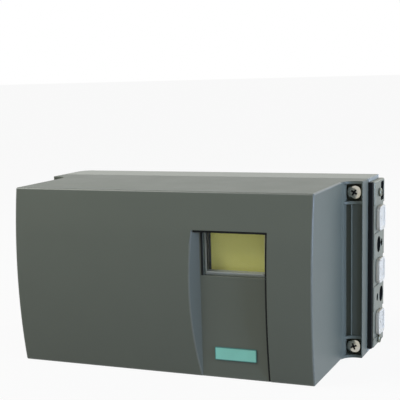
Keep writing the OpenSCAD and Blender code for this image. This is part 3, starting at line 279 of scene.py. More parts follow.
class Paint(Nodes):
    """One material: its shader, the place on the piece in metres, and nodes that vary over it."""

    def __init__(self, name, colour, constants):
        self.material = bpy.data.materials.new(name)
        self.material.use_nodes = True
        super().__init__(self.material.node_tree)
        self.shader = self.tree.nodes["Principled BSDF"]
        self.colour = (*colour, 1)
        for socket, value in {"Base Color": self.colour, **constants}.items():
            self.shader.inputs[socket].default_value = value
        self.place = self.node("ShaderNodeTexCoord", out="Object")

    def mix(self, factor, first, second):
        """A colour between two, each a tuple or a link."""
        return self.node("ShaderNodeMix", {"data_type": "RGBA"}, {0: factor, 6: first, 7: second}, out=2)

    def noise(self, size, detail, stretch=(1, 1, 1)):
        """Cloudy variation from 0 to 1 with the given size of its lumps."""
        place = self.node("ShaderNodeMapping", None, {"Vector": self.place, "Scale": stretch})
        return self.node("ShaderNodeTexNoise", None, {"Vector": place, "Scale": 1 / size, "Detail": detail})

    def cells(self, size, randomness=1.0, out="Distance"):
        """Distance to the nearest of scattered points in parts of their spacing, or its cell's colour."""
        sockets = {"Vector": self.place, "Scale": 1 / size, "Randomness": randomness}
        return self.node("ShaderNodeTexVoronoi", None, sockets, out)

    def axis(self, letter):
        """One coordinate of the place on the piece, in metres."""
        return self.node("ShaderNodeSeparateXYZ", None, {"Vector": self.place}, "XYZ".index(letter))

    def stripes(self, letter, pitch, width):
        """1 on evenly spaced lines across one direction, 0 between them."""
        return self.math("FLOORED_MODULO", self.axis(letter), pitch) < width

    def ramp(self, value, low, high):
        """0 below low, 1 above high, and a straight slope between."""
        return self.node("ShaderNodeMapRange", None, {"Value": value, "From Min": low, "From Max": high})

    def drive(self, socket, flow):
        """Let a shader socket follow a varying value or colour."""
        self.link(flow, self.shader.inputs[socket])

    def relief(self, height, depth):
        """Raise and sink the surface by a varying height, at most the given depth."""
        self.drive("Normal", self.node("ShaderNodeBump", None, {"Height": height, "Distance": depth}, "Normal"))

    def tone(self, factor, low, high):
        """Colour that swings between two shares of the base colour."""
        dark = (*(low * part for part in self.colour[:3]), 1)
        light = (*(min(1, high * part) for part in self.colour[:3]), 1)
        self.drive("Base Color", self.mix(factor, dark, light))


def moulded(name, colour, roughness, grain, depth, swing, shine=0.4, wax=None):
    """Injection-moulded plastic: eroded mould grain, faint flow clouds, uneven sheen and any wax constants."""
    paint = Paint(name, colour, {"Specular IOR Level": shine, **(wax or {})})
    cloud = paint.noise(18 * MM, 3)
    fine = paint.noise(grain, 3)
    paint.tone(cloud * 0.7 + fine * 0.3, 1 - swing, 1 + swing)
    paint.drive("Roughness", cloud * 0.1 + fine * 0.12 + (roughness - 0.11))
    paint.relief(fine, depth)
    return paint


def metal(name, colour, roughness, brush, depth, toned=True):
    """Metal with fine tool marks along one direction and clouded sheen, toned by both if it is bare."""
    paint = Paint(name, colour, {"Metallic": 1.0})
    marks = paint.noise(0.5 * MM, 3, brush)
    cloud = paint.noise(4 * MM, 2)
    if toned:
        paint.tone(marks * 0.6 + cloud * 0.4, 0.86, 1.1)
    paint.drive("Roughness", marks * 0.14 + cloud * 0.1 + (roughness - 0.12))
    paint.relief(marks, depth)
    return paint


def cover_plastic():
    """Satin olive-grey moulding."""
    return moulded("cover_plastic", (0.118, 0.132, 0.110), 0.42, 0.3 * MM, 0.012 * MM, 0.04, 0.2)


def cover_painted_highlight():
    """The cover's outer edges, painted paler as a highlight where their rounding catches the light, and
    shinier.
    """
    paint = Paint("cover_painted_highlight", (0.14, 0.153, 0.132), {"Specular IOR Level": 0.4})
    highlight_cloud = paint.noise(2.5 * MM, 3)
    paint.tone(highlight_cloud, 0.82, 1.15)
    paint.drive("Roughness", highlight_cloud * 0.2 + 0.24)
    return paint


def base_plastic():
    """Paler grey moulding of the rear half."""
    return moulded("base_plastic", (0.30, 0.315, 0.285), 0.45, 0.3 * MM, 0.012 * MM, 0.05, 0.25)


def seal_rubber():
    """Matt black rubber with a bloom, for the seals, and also for the black strips and faces that paint shade.
    """
    return moulded("seal_rubber", (0.011, 0.012, 0.012), 0.75, 0.15 * MM, 0.01 * MM, 0.3, 0.15)


def bronze():
    """Sintered bronze: packed grains with open pores."""
    paint = Paint("bronze", (0.45, 0.28, 0.12), {"Metallic": 1.0})
    grains = paint.cells(0.28 * MM)
    paint.tone(grains, 1.15, 0.55)
    paint.drive("Roughness", grains * 0.3 + 0.3)
    paint.relief(1 - grains, 0.05 * MM)
    return paint


def brass():
    """Turned brass."""
    return metal("brass", (0.6, 0.42, 0.16), 0.28, (1, 1, 6), 0.004 * MM)


def block_metal():
    """Anodised casting: grey-green, finely blasted."""
    paint = Paint("block_metal", (0.185, 0.195, 0.155), {"Metallic": 0.3})
    blast = paint.noise(0.25 * MM, 4)
    cloud = paint.noise(9 * MM, 2)
    paint.tone(blast * 0.4 + cloud * 0.6, 0.85, 1.12)
    paint.drive("Roughness", blast * 0.2 + 0.36)
    paint.relief(blast, 0.02 * MM)
    return paint


def screw_steel():
    """Bright zinc plating with a faint yellow passivation."""
    paint = metal("screw_steel", (0.52, 0.52, 0.51), 0.2, (1, 1, 1), 0.003 * MM, toned=False)
    film = paint.noise(2.5 * MM, 1)
    paint.drive("Base Color", paint.mix(film, paint.colour, (0.47, 0.43, 0.3, 1)))
    return paint


def painted_recess_shade():
    """Near-black steel that paints the shade inside screw recesses, paler in patches."""
    paint = metal("painted_recess_shade", (0.028, 0.029, 0.032), 0.4, (1, 1, 1), 0.004 * MM, toned=False)
    paler_patch = paint.ramp(paint.noise(1.2 * MM, 3), 0.62, 0.8)
    paint.drive("Base Color", paint.mix(paler_patch, paint.colour, (0.12, 0.12, 0.12, 1)))
    return paint


def dull_steel():
    """Phosphated steel, a dull grey-green."""
    return metal("dull_steel", (0.2, 0.21, 0.175), 0.5, (1, 1, 1), 0.004 * MM)


def plain_steel():
    """Ground steel with marks round or along the piece."""
    return metal("plain_steel", (0.5, 0.51, 0.52), 0.3, (1, 9, 1), 0.004 * MM)


def black_plastic():
    """Glass-filled black moulding."""
    return moulded("black_plastic", (0.02, 0.021, 0.023), 0.5, 0.25 * MM, 0.015 * MM, 0.25)


def pot_plastic():
    """Dark blue moulding of the potentiometer."""
    return moulded("pot_plastic", (0.03, 0.08, 0.16), 0.4, 0.2 * MM, 0.008 * MM, 0.12)


def board_green():
    """Solder resist over copper tracks, with tinned through-holes."""
    paint = Paint("board_green", (0.016, 0.105, 0.042), {"Coat Roughness": 0.15, "Coat Weight": 0.4})
    patch = paint.cells(11 * MM, out="Color")
    turn = paint.node("ShaderNodeSeparateColor", None, {"Color": patch}, "Red")
    lines = {"Vector": paint.place, "Scale": 125.0}
    along = paint.node("ShaderNodeTexWave", {"bands_direction": "X"}, lines)
    across = paint.node("ShaderNodeTexWave", {"bands_direction": "Z"}, lines)
    track = (along > 0.72) * (turn > 0.5) + (across > 0.72) * (turn < 0.3)
    hole = paint.cells(5.08 * MM, randomness=0.35) < 0.1
    resist = paint.mix(track, paint.colour, (0.04, 0.19, 0.07, 1))
    paint.drive("Base Color", paint.mix(hole, resist, (0.55, 0.55, 0.52, 1)))
    paint.drive("Metallic", hole)
    paint.drive("Roughness", 0.38 - track * 0.08)
    paint.relief(track + hole, 0.03 * MM)
    return paint


def terminal_green():
    """Muted green terminal moulding."""
    return moulded("terminal_green", (0.1, 0.2, 0.08), 0.42, 0.2 * MM, 0.008 * MM, 0.08)


def gear_nylon():
    """Natural nylon, slightly waxy."""
    return moulded("gear_nylon", (0.7, 0.68, 0.58), 0.4, 0.2 * MM, 0.006 * MM, 0.04,
                   wax={"Subsurface Weight": 0.15, "Subsurface Scale": 0.5 * MM})


def yellow_plastic():
    """Signal yellow setting parts."""
    return moulded("yellow_plastic", (0.7, 0.43, 0.02), 0.34, 0.25 * MM, 0.006 * MM, 0.05)


def button_grey():
    """Pale grey keys."""
    return moulded("button_grey", (0.5, 0.52, 0.55), 0.5, 0.2 * MM, 0.01 * MM, 0.04)


def display_frame():
    """Pale frame that holds the display."""
    return moulded("display_frame", (0.52, 0.53, 0.49), 0.45, 0.2 * MM, 0.008 * MM, 0.05)


def display_glass():
    """Switched-off reflective display: yellow-green, faintly ruled in cells, paler along its right, with a
    faint painted glow that brightens it in its shaded recess.
    """
    # The faint emission is painted light: the display is no lamp.
    paint = Paint("display_glass", (0.66, 0.65, 0.17), {
        "Specular IOR Level": 0.2, "Emission Strength": 0.25, "Emission Color": (0.3, 0.29, 0.08, 1)})
    rules = paint.stripes("X", 3.3 * MM, 0.25 * MM) + paint.stripes("Z", 5.65 * MM, 0.25 * MM)
    glow = paint.noise(14 * MM, 1)
    backing = paint.mix(glow, paint.colour, (0.74, 0.73, 0.21, 1))
    ruled = paint.mix(rules * 0.08, backing, (0.3, 0.32, 0.1, 1))
    margin = paint.ramp(paint.axis("X"), 54.2 * MM, 54.7 * MM)
    paint.drive("Base Color", paint.mix(margin * 0.7, ruled, (0.88, 0.86, 0.6, 1)))
    paint.drive("Roughness", glow * 0.1 + 0.22)
    return paint


def window_clear():
    """Clear moulded pane, faintly hazed by handling."""
    paint = Paint("window_clear", (0.8, 0.84, 0.82), {"IOR": 1.49})
    haze = paint.noise(6 * MM, 3)
    paint.drive("Roughness", haze * 0.12 + 0.03)
    paint.drive("Alpha", haze * 0.02 + 0.015)
    return paint


def pane_painted_highlight():
    """Margin of the pane, pale and nearly opaque against its clear middle: a painted highlight where its bevels
    catch the light.
    """
    paint = Paint("pane_painted_highlight", (0.42, 0.45, 0.43), {"IOR": 1.49})
    haze = paint.noise(0.4 * MM, 3)
    paint.tone(haze, 0.9, 1.1)
    paint.drive("Roughness", haze * 0.15 + 0.3)
    paint.drive("Alpha", haze * 0.1 + 0.7)
    return paint


def plate_teal():
    """Bare printed plate: teal ink over metal foil."""
    paint = Paint("plate_teal", (0.22, 0.6, 0.5), {"Coat Weight": 0.3, "Coat Roughness": 0.2})
    ink = paint.noise(0.35 * MM, 2)
    wash = paint.noise(7 * MM, 1)
    paint.tone(ink * 0.3 + wash * 0.7, 0.9, 1.08)
    paint.drive("Roughness", ink * 0.15 + 0.32)
    paint.relief(ink, 0.004 * MM)
    return paint


def plate_border():
    """Darker ink along the edge of the plate."""
    paint = Paint("plate_border", (0.045, 0.2, 0.18), {"Coat Weight": 0.3, "Coat Roughness": 0.2})
    ink = paint.noise(0.35 * MM, 2)
    paint.tone(ink, 0.85, 1.1)
    paint.drive("Roughness", ink * 0.15 + 0.32)
    return paint


def white_plastic():
    """Soft white plastic of the dust plugs and screw retainers."""
    return moulded("white_plastic", (0.66, 0.61, 0.51), 0.45, 0.2 * MM, 0.006 * MM, 0.03,
                   wax={"Subsurface Weight": 0.1, "Subsurface Scale": 0.4 * MM, "Subsurface Radius": (1, 1, 1)})


FINISHES = [
    cover_plastic, cover_painted_highlight, base_plastic, seal_rubber, bronze, brass, block_metal, screw_steel,
    painted_recess_shade, dull_steel, plain_steel, black_plastic, pot_plastic, board_green, terminal_green, gear_nylon,
    yellow_plastic, button_grey, display_frame, display_glass, window_clear, pane_painted_highlight, plate_teal,
    plate_border, white_plastic,
]
FINISH = {make.__name__: make().material for make in FINISHES}


def only(piece):
    """Make one piece the sole selected and active object."""
    bpy.ops.object.select_all(action="DESELECT")
    piece.select_set(True)
    bpy.context.view_layer.objects.active = piece


def edit():
    bpy.ops.object.mode_set(mode="EDIT")


def leave():
    bpy.ops.object.mode_set(mode="OBJECT")


def pick(test, kind="FACE"):
    """In edit mode, select the faces or edges that pass a test and nothing else."""
    bpy.context.tool_settings.mesh_select_mode = (False, kind == "EDGE", kind == "FACE")
    bpy.ops.mesh.select_all(action="DESELECT")
    shape = bmesh.from_edit_mesh(bpy.context.object.data)
    for item in (shape.faces if kind == "FACE" else shape.edges):
        if test(item):
            item.select_set(True)
    bmesh.update_edit_mesh(bpy.context.object.data)


def middle(edge):
    return (edge.verts[0].co + edge.verts[1].co) / 2


def is_sharp(edge):
    return edge.is_manifold and edge.calc_face_angle(0) > SHARP_ANGLE


def runs_along(letter):
    """A test for the edges of a block that run along one direction."""
    axis = "xyz".index(letter)
    return lambda edge: abs(edge.verts[0].co[axis] - edge.verts[1].co[axis]) > NEAR


def round_off(test, width, segments, material=-1):
    """In edit mode, round the edges that pass a test, in one of the piece's materials if it is given."""
    pick(test, "EDGE")
    bpy.ops.mesh.bevel(offset=width, segments=segments, material=material)


def even_shading(piece):
    """Smooth shading in which the large faces keep their flatness."""
    only(piece)
    bpy.ops.object.shade_smooth_by_angle(angle=SMOOTH_ANGLE)
    weigh = piece.modifiers.new("even_shading", "WEIGHTED_NORMAL")
    weigh.keep_sharp = True
    bpy.ops.object.modifier_apply(modifier=weigh.name)


def dress(piece, body, finish, *nodes):
    """Give a finished piece its material, the body it moves with and the nodes it stands for."""
    if not piece.data.materials:
        piece.data.materials.append(FINISH[finish])
    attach(piece, body)
    if nodes:
        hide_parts(*nodes)
    return piece


def accent(piece, finish, test):
    """Give the faces of a piece that pass a test another finish."""
    only(piece)
    piece.data.materials.append(FINISH[finish])
    piece.active_material_index = len(piece.data.materials) - 1
    edit()
    pick(test)
    bpy.ops.object.material_slot_assign()
    leave()


def copied(source, name):
    """A copy with its own mesh."""
    copy = bpy.data.objects.new(name, source.data.copy())
    bpy.context.scene.collection.objects.link(copy)
    return copy


def discard(piece):
    only(piece)
    bpy.ops.object.delete()


def carve(piece, cutter, operation="DIFFERENCE"):
    """Take the cutter's volume out of a piece, keep only what lies in it, or add it."""
    only(piece)
    cut = piece.modifiers.new("cut", "BOOLEAN")
    cut.object = cutter
    cut.operation = operation
    cut.solver = "EXACT"
    bpy.ops.object.modifier_apply(modifier=cut.name)
    discard(cutter)
    only(piece)


def cuboid(name, low, high):
    """A block between two corners, the start of a piece."""
    bpy.ops.object.select_all(action="DESELECT")
    bpy.ops.mesh.primitive_cube_add(size=1, location=[(start + end) / 2 for start, end in zip(low, high)])
    piece = bpy.context.object
    piece.name = name
    piece.scale = [end - start for start, end in zip(low, high)]
    bpy.ops.object.transform_apply(location=True, scale=True)
    return piece


def turned(name, sides, steps):
    """A lathe piece on the Z axis: a disc drawn through the given steps of radius and height."""
    radius, height = steps[0]
    bpy.ops.object.select_all(action="DESELECT")
    bpy.ops.mesh.primitive_circle_add(vertices=sides, radius=radius, fill_type="NGON", location=(0, 0, height))
    piece = bpy.context.object
    piece.name = name
    bpy.ops.object.transform_apply(location=True)
    edit()
    bpy.ops.mesh.select_all(action="SELECT")
    for wider, higher in steps[1:]:
        bpy.ops.mesh.extrude_region_move(TRANSFORM_OT_translate={"value": (0, 0, higher - height)})
        bpy.ops.transform.resize(value=(wider / radius, wider / radius, 1))
        radius, height = wider, higher
    bpy.ops.mesh.select_all(action="SELECT")
    bpy.ops.mesh.normals_make_consistent(inside=False)
    leave()
    return piece


def soften(node, finish, fine, *rims, cutter=None):
    """A merged copy of a node, cut if need be, with rounded edges: each rim at its own width and finish."""
    piece = copied(frame["nodes"][node], node + "_rounded")
    piece.data.materials.clear()
    finishes = list(dict.fromkeys([finish, *(rim_finish for _, _, rim_finish in rims)]))
    for name in finishes:
        piece.data.materials.append(FINISH[name])
    only(piece)
    edit()
    bpy.ops.mesh.select_all(action="SELECT")
    bpy.ops.mesh.remove_doubles(threshold=MERGE)
    if cutter:
        leave()
        carve(piece, cutter)
        edit()
        bpy.ops.mesh.select_all(action="SELECT")
    bpy.ops.mesh.dissolve_limited(angle_limit=FLAT_ANGLE)
    for on_rim, width, rim_finish in rims:
        round_off(lambda edge: is_sharp(edge) and on_rim(middle(edge)), width, 4, finishes.index(rim_finish))
    round_off(is_sharp, fine, 2)
    leave()
    even_shading(piece)
    return dress(piece, BODY_OF[node], finish, node)


def on_cover_corner(mid):
    """Outer edges of the cover: round its front and along its long sides."""
    at_height = COVER_HIGH.z - abs(mid.z) < NEAR
    at_width = abs(abs(mid.x) - COVER_HALF) < NEAR
    front = mid.y < COVER_EDGE_Y + NEAR_FRONT
    return (at_width and (front or at_height)) or (front and at_height)


def on_band_side(mid):
    """Edge where the cover's bow meets the slanted wall left of its sunk band."""
    return SLOPE_LEFT < mid.x < BAND_LEFT + NEAR and mid.y < COVER_EDGE_Y - NEAR / 2


def on_base_corner(mid):
    """Outer edges at the back and the ends of the base."""
    at_back = abs(mid.y) < NEAR
    at_height = COVER_HIGH.z - abs(mid.z) < NEAR
    at_width = abs(mid.x) > BASE_HIGH.x - NEAR
    return at_back and (at_height or at_width)


def on_block_corner(mid):
    """Front and end edges of the pneumatic block's right face."""
    at_face = mid.x > BLOCK_HIGH.x - NEAR / 2
    at_front = mid.y < BLOCK_LOW.y + NEAR
    at_end = BLOCK_HIGH.z - abs(mid.z) < NEAR
    return at_face and (at_front or at_end)


def in_side_hole(face):
    """Inner faces of the pneumatic block's blind holes, away from its three ports: these are painted black as
    shade.
    """
    mid = face.calc_center_median()
    sunk = BLOCK_LOW.x + HOLE_END < mid.x < BLOCK_HIGH.x - HOLE_MOUTH
    inside_y = BLOCK_LOW.y + BLOCK_ROUND < mid.y < BLOCK_HIGH.y - BLOCK_ROUND
    inside_z = abs(mid.z) < BLOCK_HIGH.z - BLOCK_ROUND
    clear = all((port - mid).yz.length > PORT_REACH for port in PORTS)
    return sunk and inside_y and inside_z and clear


def block_slot():
    """The cutter of the block's slot, a rounded block."""
    cutter = cuboid("slot_cutter", (BLOCK_HIGH.x - SLOT_DEPTH, SLOT_REAR - SLOT_WIDE, SLOT_LOW),
                    (BLOCK_HIGH.x + SLOT_DEPTH, SLOT_REAR, SLOT_HIGH))
    edit()
    round_off(runs_along("x"), SLOT_CORNER, 8)
    leave()
    return cutter


def bow_drum(radius):
    """A drum on the bow's axis, wider than the cover."""
    bpy.ops.object.select_all(action="DESELECT")
    bpy.ops.mesh.primitive_cylinder_add(vertices=BOW_SIDES, radius=radius, depth=BOW_WIDTH,
                                        location=(0, COVER_LOW.y + BOW_RADIUS, 0), rotation=(0, pi / 2, 0))
    bpy.ops.object.transform_apply(location=True, rotation=True)
    return bpy.context.object


def bow_shadow_strip(name, left, right, low, high):
    """A black strip of painted shadow that follows the bow just behind its surface, on a wall of the sunk band.
    """
    piece = cuboid(name, (left, COVER_LOW.y, low), (right, COVER_EDGE_Y + SHADOW_STRIP_BACK, high))
    carve(piece, bow_drum(BOW_RADIUS - SHADOW_STRIP_SET), "INTERSECT")
    carve(piece, bow_drum(BOW_RADIUS - SHADOW_STRIP_SET - SHADOW_STRIP_DEPTH))
    edit()
    round_off(is_sharp, SHEET_ROUND, 2)
    leave()
    even_shading(piece)
    dress(piece, BODY_OF["cover_shell"], "seal_rubber")


def solids(node):
    """Lowest and highest corners of each separate solid of a node."""
    shape = bmesh.new()
    shape.from_mesh(frame["nodes"][node].data)
    bmesh.ops.remove_doubles(shape, verts=shape.verts, dist=MERGE)
    left = set(shape.verts)
    corners = []
    while left:
        reach = [left.pop()]
        places = []
        while reach:
            vert = reach.pop()
            places.append(vert.co.copy())
            near = {edge.other_vert(vert) for edge in vert.link_edges} & left
            left -= near
            reach.extend(near)
        sides = list(zip(*places))
        corners.append((tuple(map(min, sides)), tuple(map(max, sides))))
    shape.free()
    return [(Vector(low), Vector(high)) for low, high in sorted(corners)]


def in_recess(face, head_r, head_t):
    """Walls and floor of a screw's cross, by shares of the head's radius and thickness."""
    mid = face.calc_center_median()
    inside = mid.xy.length < 0.7 * head_r and mid.z > 0.2 * head_t
    return inside and (face.normal.z < 0.5 or mid.z < 0.7 * head_t)


def cross_screw(finish, head_r, head_t, shank_r, length):
    """A pan head with a tapering cross recess, painted near-black inside as shade, on its shank: head up, its
    underside at the origin.
    """
    shank = [(SHANK_END * shank_r, -length), (shank_r, SHANK_TAPER * shank_r - length), (shank_r, 0)]
    head = [(radius * head_r, height * head_t) for radius, height in HEAD_STEPS]
    piece = turned("screw_pattern", SCREW_SIDES, shank + head)
    top = Vector((0, 0, head_t))
    for wide, deep in ((CROSS_LONG, CROSS_WIDE), (CROSS_WIDE, CROSS_LONG)):
        half = Vector((wide * head_r / 2, deep * head_r / 2, CROSS_DEEP * head_t))
        arm = cuboid("cross_arm", top - half, top + half)
        edit()
        pick(lambda face: face.normal.z < -FACING)
        bpy.ops.transform.resize(value=(CROSS_TAPER, CROSS_TAPER, 1))
        leave()
        carve(piece, arm)
    even_shading(piece)
    piece.data.materials.append(FINISH[finish])
    # The recess's walls and floor are painted near-black as shade.
    accent(piece, "painted_recess_shade", lambda face: in_recess(face, head_r, head_t))
    return piece


def screws(node, finish, head_r, head_t, shank_r, turn):
    """One screw modelled and copied to each place of a node, its head on the side that the turn gives."""
    places = solids(node)
    along = 0 if turn == TO_RIGHT else 1
    length = places[0][1][along] - places[0][0][along] - head_t
    pattern = cross_screw(finish, head_r, head_t, shank_r, length)
    for number, (low, high) in enumerate(places, 1):
        spot = (low + high) / 2
        spot[along] = high.x - head_t if turn == TO_RIGHT else low.y + head_t
        screwed = Matrix.Rotation(number * SCREW_TWIST, 4, "Z")
        copy = copied(pattern, f"{node}_{number}")
        copy.data.transform(Matrix.Translation(spot) @ turn @ screwed)
        dress(copy, BODY_OF[node], finish, node)
    discard(pattern)


def dust_plug(node):
    """A plug with a square, dished head, a round skirt in its port and a pip in the middle of its dish."""
    low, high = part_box(node)
    mid = (low + high) / 2
    half = PLUG_SIDE / 2
    piece = cuboid(node + "_headed", (high.x - PLUG_HEAD, mid.y - half, mid.z - half),
                   (high.x, mid.y + half, mid.z + half))
    edit()
    round_off(runs_along("x"), PLUG_CORNER, 8)
    pick(lambda face: face.normal.x > FACING)
    bpy.ops.mesh.inset(thickness=PLUG_BORDER)
    bpy.ops.mesh.extrude_region_move(TRANSFORM_OT_translate={"value": (-PLUG_DISH, 0, 0)})
    bpy.ops.transform.resize(value=(1, PLUG_DRAFT, PLUG_DRAFT))
    round_off(is_sharp, PLUG_ROUND, 3)
    leave()
    length = high.x - low.x
    inside = length - PLUG_HEAD / 2
    dish = length - PLUG_DISH
    skirt = turned("plug_skirt", SKIRT_SIDES, [
        (SKIRT_RADIUS - SKIRT_LEAD, 0), (SKIRT_RADIUS, SKIRT_LEAD_LONG), (SKIRT_RADIUS, inside),
        (PIP_STEPS[0][0], inside), *((radius, dish + height) for radius, height in PIP_STEPS)])
    skirt.data.transform(Matrix.Translation((low.x, mid.y, mid.z)) @ TO_RIGHT)
    carve(piece, skirt, "UNION")
    even_shading(piece)
    dress(piece, BODY_OF[node], "white_plastic", node)


def blank_plate(node):
    """A thin plate with rounded corners and a fine raised border in a darker ink."""
    low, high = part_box(node)
    piece = cuboid(node + "_bordered", low, high)
    edit()
    round_off(runs_along("y"), PLATE_CORNER, 6)
    pick(lambda face: face.normal.y < -FACING)
    bpy.ops.mesh.inset(thickness=PLATE_BORDER)
    bpy.ops.mesh.extrude_region_move(TRANSFORM_OT_translate={"value": (0, PLATE_RAISE, 0)})
    round_off(lambda edge: is_sharp(edge) and middle(edge).y < low.y + PLATE_RAISE / 4, PLATE_ROUND, 2)
    leave()
    even_shading(piece)
    piece.data.materials.append(FINISH["plate_teal"])

    def on_border(face):
        mid = face.calc_center_median()
        inside_x = low.x + PLATE_BORDER < mid.x < high.x - PLATE_BORDER
        inside_z = low.z + PLATE_BORDER < mid.z < high.z - PLATE_BORDER
        return not (inside_x and inside_z)

    accent(piece, "plate_border", on_border)
    dress(piece, BODY_OF[node], "plate_teal", node)


def display_pane():
    """The clear pane, with a pale margin painted as a highlight along its left and its foot."""
    piece = soften("display_window", "window_clear", SHEET_ROUND)
    foot = GLASS_LOW.z + PANE_FOOT
    edit()
    bpy.ops.mesh.select_all(action="SELECT")
    bpy.ops.mesh.bisect(plane_co=(0, 0, foot), plane_no=(0, 0, 1))
    leave()
    # The pane's left-facing faces and its foot are painted pale as a highlight.
    accent(piece, "pane_painted_highlight", lambda face: face.normal.x < -PANE_SLANT or face.calc_center_median().z < foot)


def pane_shadow_strip():
    """A black strip on the band's floor, beside the left of the pane: painted shadow in the groove there."""
    right = GLASS_LOW.x - PANE_SHADOW_GAP
    piece = cuboid("pane_shadow_strip", (right - PANE_SHADOW_WIDE, BAND_Y - PANE_SHADOW_PROUD, GLASS_LOW.z + PANE_SHADOW_SHORT),
                   (right, BAND_Y + PANE_SHADOW_SINK, GLASS_HIGH.z - PANE_SHADOW_SHORT))
    edit()
    round_off(lambda edge: middle(edge).y < BAND_Y - NEAR, PANE_SHADOW_ROUND, 3)
    leave()
    even_shading(piece)
    dress(piece, BODY_OF["cover_shell"], "seal_rubber")


def display_bezel():
    """A thin black frame round the display's picture, stuck to the glass, widest on its right, where its black
    also paints the shadow line along the window's right side.
    """
    back = GLASS_LOW.y
    front = back - BEZEL_THICK
    piece = cuboid("display_bezel", (GLASS_LOW.x + BEZEL_GAP, front, GLASS_LOW.z + BEZEL_GAP),
                   (GLASS_HIGH.x - BEZEL_GAP, back, GLASS_HIGH.z - BEZEL_GAP))
    opening = cuboid("picture", (GLASS_LOW.x + BEZEL_LEFT, front - BEZEL_THICK, GLASS_LOW.z + BEZEL_END),
                     (GLASS_HIGH.x - BEZEL_RIGHT, back + BEZEL_THICK, GLASS_HIGH.z - BEZEL_END))
    carve(piece, opening)
    edit()
    round_off(lambda edge: is_sharp(edge) and middle(edge).y < front + BEZEL_THICK / 4, BEZEL_ROUND, 2)
    leave()
    even_shading(piece)
    dress(piece, BODY_OF["lcd_glass"], "black_plastic")


def button_mark(node, sides, turn):
    """A small raised mark on a button's face: a diamond or an arrow head."""
    low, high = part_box(node)
    spot = ((low.x + high.x) / 2, low.y + MARK_SINK, (low.z + high.z) / 2)
    bpy.ops.object.select_all(action="DESELECT")
    bpy.ops.mesh.primitive_circle_add(vertices=sides, radius=MARK_RADIUS, fill_type="NGON", location=spot,
                                      rotation=(pi / 2, turn, 0))
    piece = bpy.context.object
    piece.name = node + "_mark"
    bpy.ops.object.transform_apply(location=True, rotation=True)
    edit()
    bpy.ops.mesh.select_all(action="SELECT")
    bpy.ops.mesh.extrude_region_move(TRANSFORM_OT_translate={"value": (0, -MARK_HIGH, 0)})
    bpy.ops.transform.resize(value=(MARK_TAPER, 1, MARK_TAPER))
    bpy.ops.mesh.select_all(action="SELECT")
    bpy.ops.mesh.normals_make_consistent(inside=False)
    round_off(lambda edge: is_sharp(edge) and middle(edge).y < low.y, MARK_ROUND, 2)
    leave()
    even_shading(piece)
    dress(piece, BODY_OF[node], "black_plastic")


def floor():
    """Pale floor that the camera, mirrors and panes see as nearly white, with the object's shadow on it."""
    bpy.ops.object.select_all(action="DESELECT")
    bpy.ops.mesh.primitive_plane_add(size=FLOOR_SIZE, location=(0, 0, BASE_LOW.z - FLOOR_GAP))
    sheet = bpy.context.object
    sheet.name = "floor"
    paint = Paint("pale_floor", (0.5, 0.5, 0.5), {"Roughness": 0.9})
    glow = paint.node("ShaderNodeEmission", None, {"Color": (1, 1, 1, 1), "Strength": 1.0})
    lit = Flow(paint, paint.shader.outputs[0])
    blend = paint.node("ShaderNodeMixShader", None, {0: paint.seen_white() * FLOOR_GLOW, 1: lit, 2: glow})
    paint.link(blend, paint.tree.nodes["Material Output"].inputs["Surface"])
    sheet.data.materials.append(paint.material)


def surroundings():
    """White for the camera, mirrors and panes, and a softer level as light."""
    world = bpy.data.worlds.new("studio")
    bpy.context.scene.world = world
    world.use_nodes = True
    room = Nodes(world.node_tree)
    level = room.node("ShaderNodeMapRange", None, {
        "Value": room.seen_white(), "To Min": ROOM_LIGHT, "To Max": 1.0})
    background = room.tree.nodes["Background"]
    background.inputs["Color"].default_value = (1, 1, 1, 1)
    room.link(level, background.inputs["Strength"])


def lamp(name, place, aim, size, power, colour):
    """A soft square lamp that looks at a point."""
    light = bpy.data.lights.new(name, "AREA")
    light.size = size
    light.energy = power
    light.color = colour
    piece = bpy.data.objects.new(name, light)
    bpy.context.scene.collection.objects.link(piece)
    piece.location = place
    piece.rotation_euler = (Vector(aim) - Vector(place)).to_track_quat("-Z", "Y").to_euler()


def photo_camera():
    """The photograph's viewpoint, with the lens shifted up."""
    back = Vector((sin(VIEW_AZIMUTH) * cos(VIEW_ELEVATION), -cos(VIEW_AZIMUTH) * cos(VIEW_ELEVATION),
                   sin(VIEW_ELEVATION)))
    level = Vector((cos(VIEW_AZIMUTH), sin(VIEW_AZIMUTH), 0))
    above = back.cross(level)
    right = cos(VIEW_ROLL) * level + sin(VIEW_ROLL) * above
    up = cos(VIEW_ROLL) * above - sin(VIEW_ROLL) * level
    lens = bpy.data.cameras.new("photo_camera")
    lens.lens = VIEW_LENS
    lens.sensor_width = VIEW_SENSOR
    lens.shift_y = VIEW_SHIFT_UP
    lens.clip_start = VIEW_CLIP
    camera = bpy.data.objects.new("photo_camera", lens)
    bpy.context.scene.collection.objects.link(camera)
    spot = Vector((0, COVER_EDGE_Y, 0)) + right * VIEW_ASIDE + up * VIEW_ABOVE + back * VIEW_DISTANCE
    camera.matrix_world = Matrix.Translation(spot) @ Matrix((right, up, back)).transposed().to_4x4()
    bpy.context.scene.camera = camera


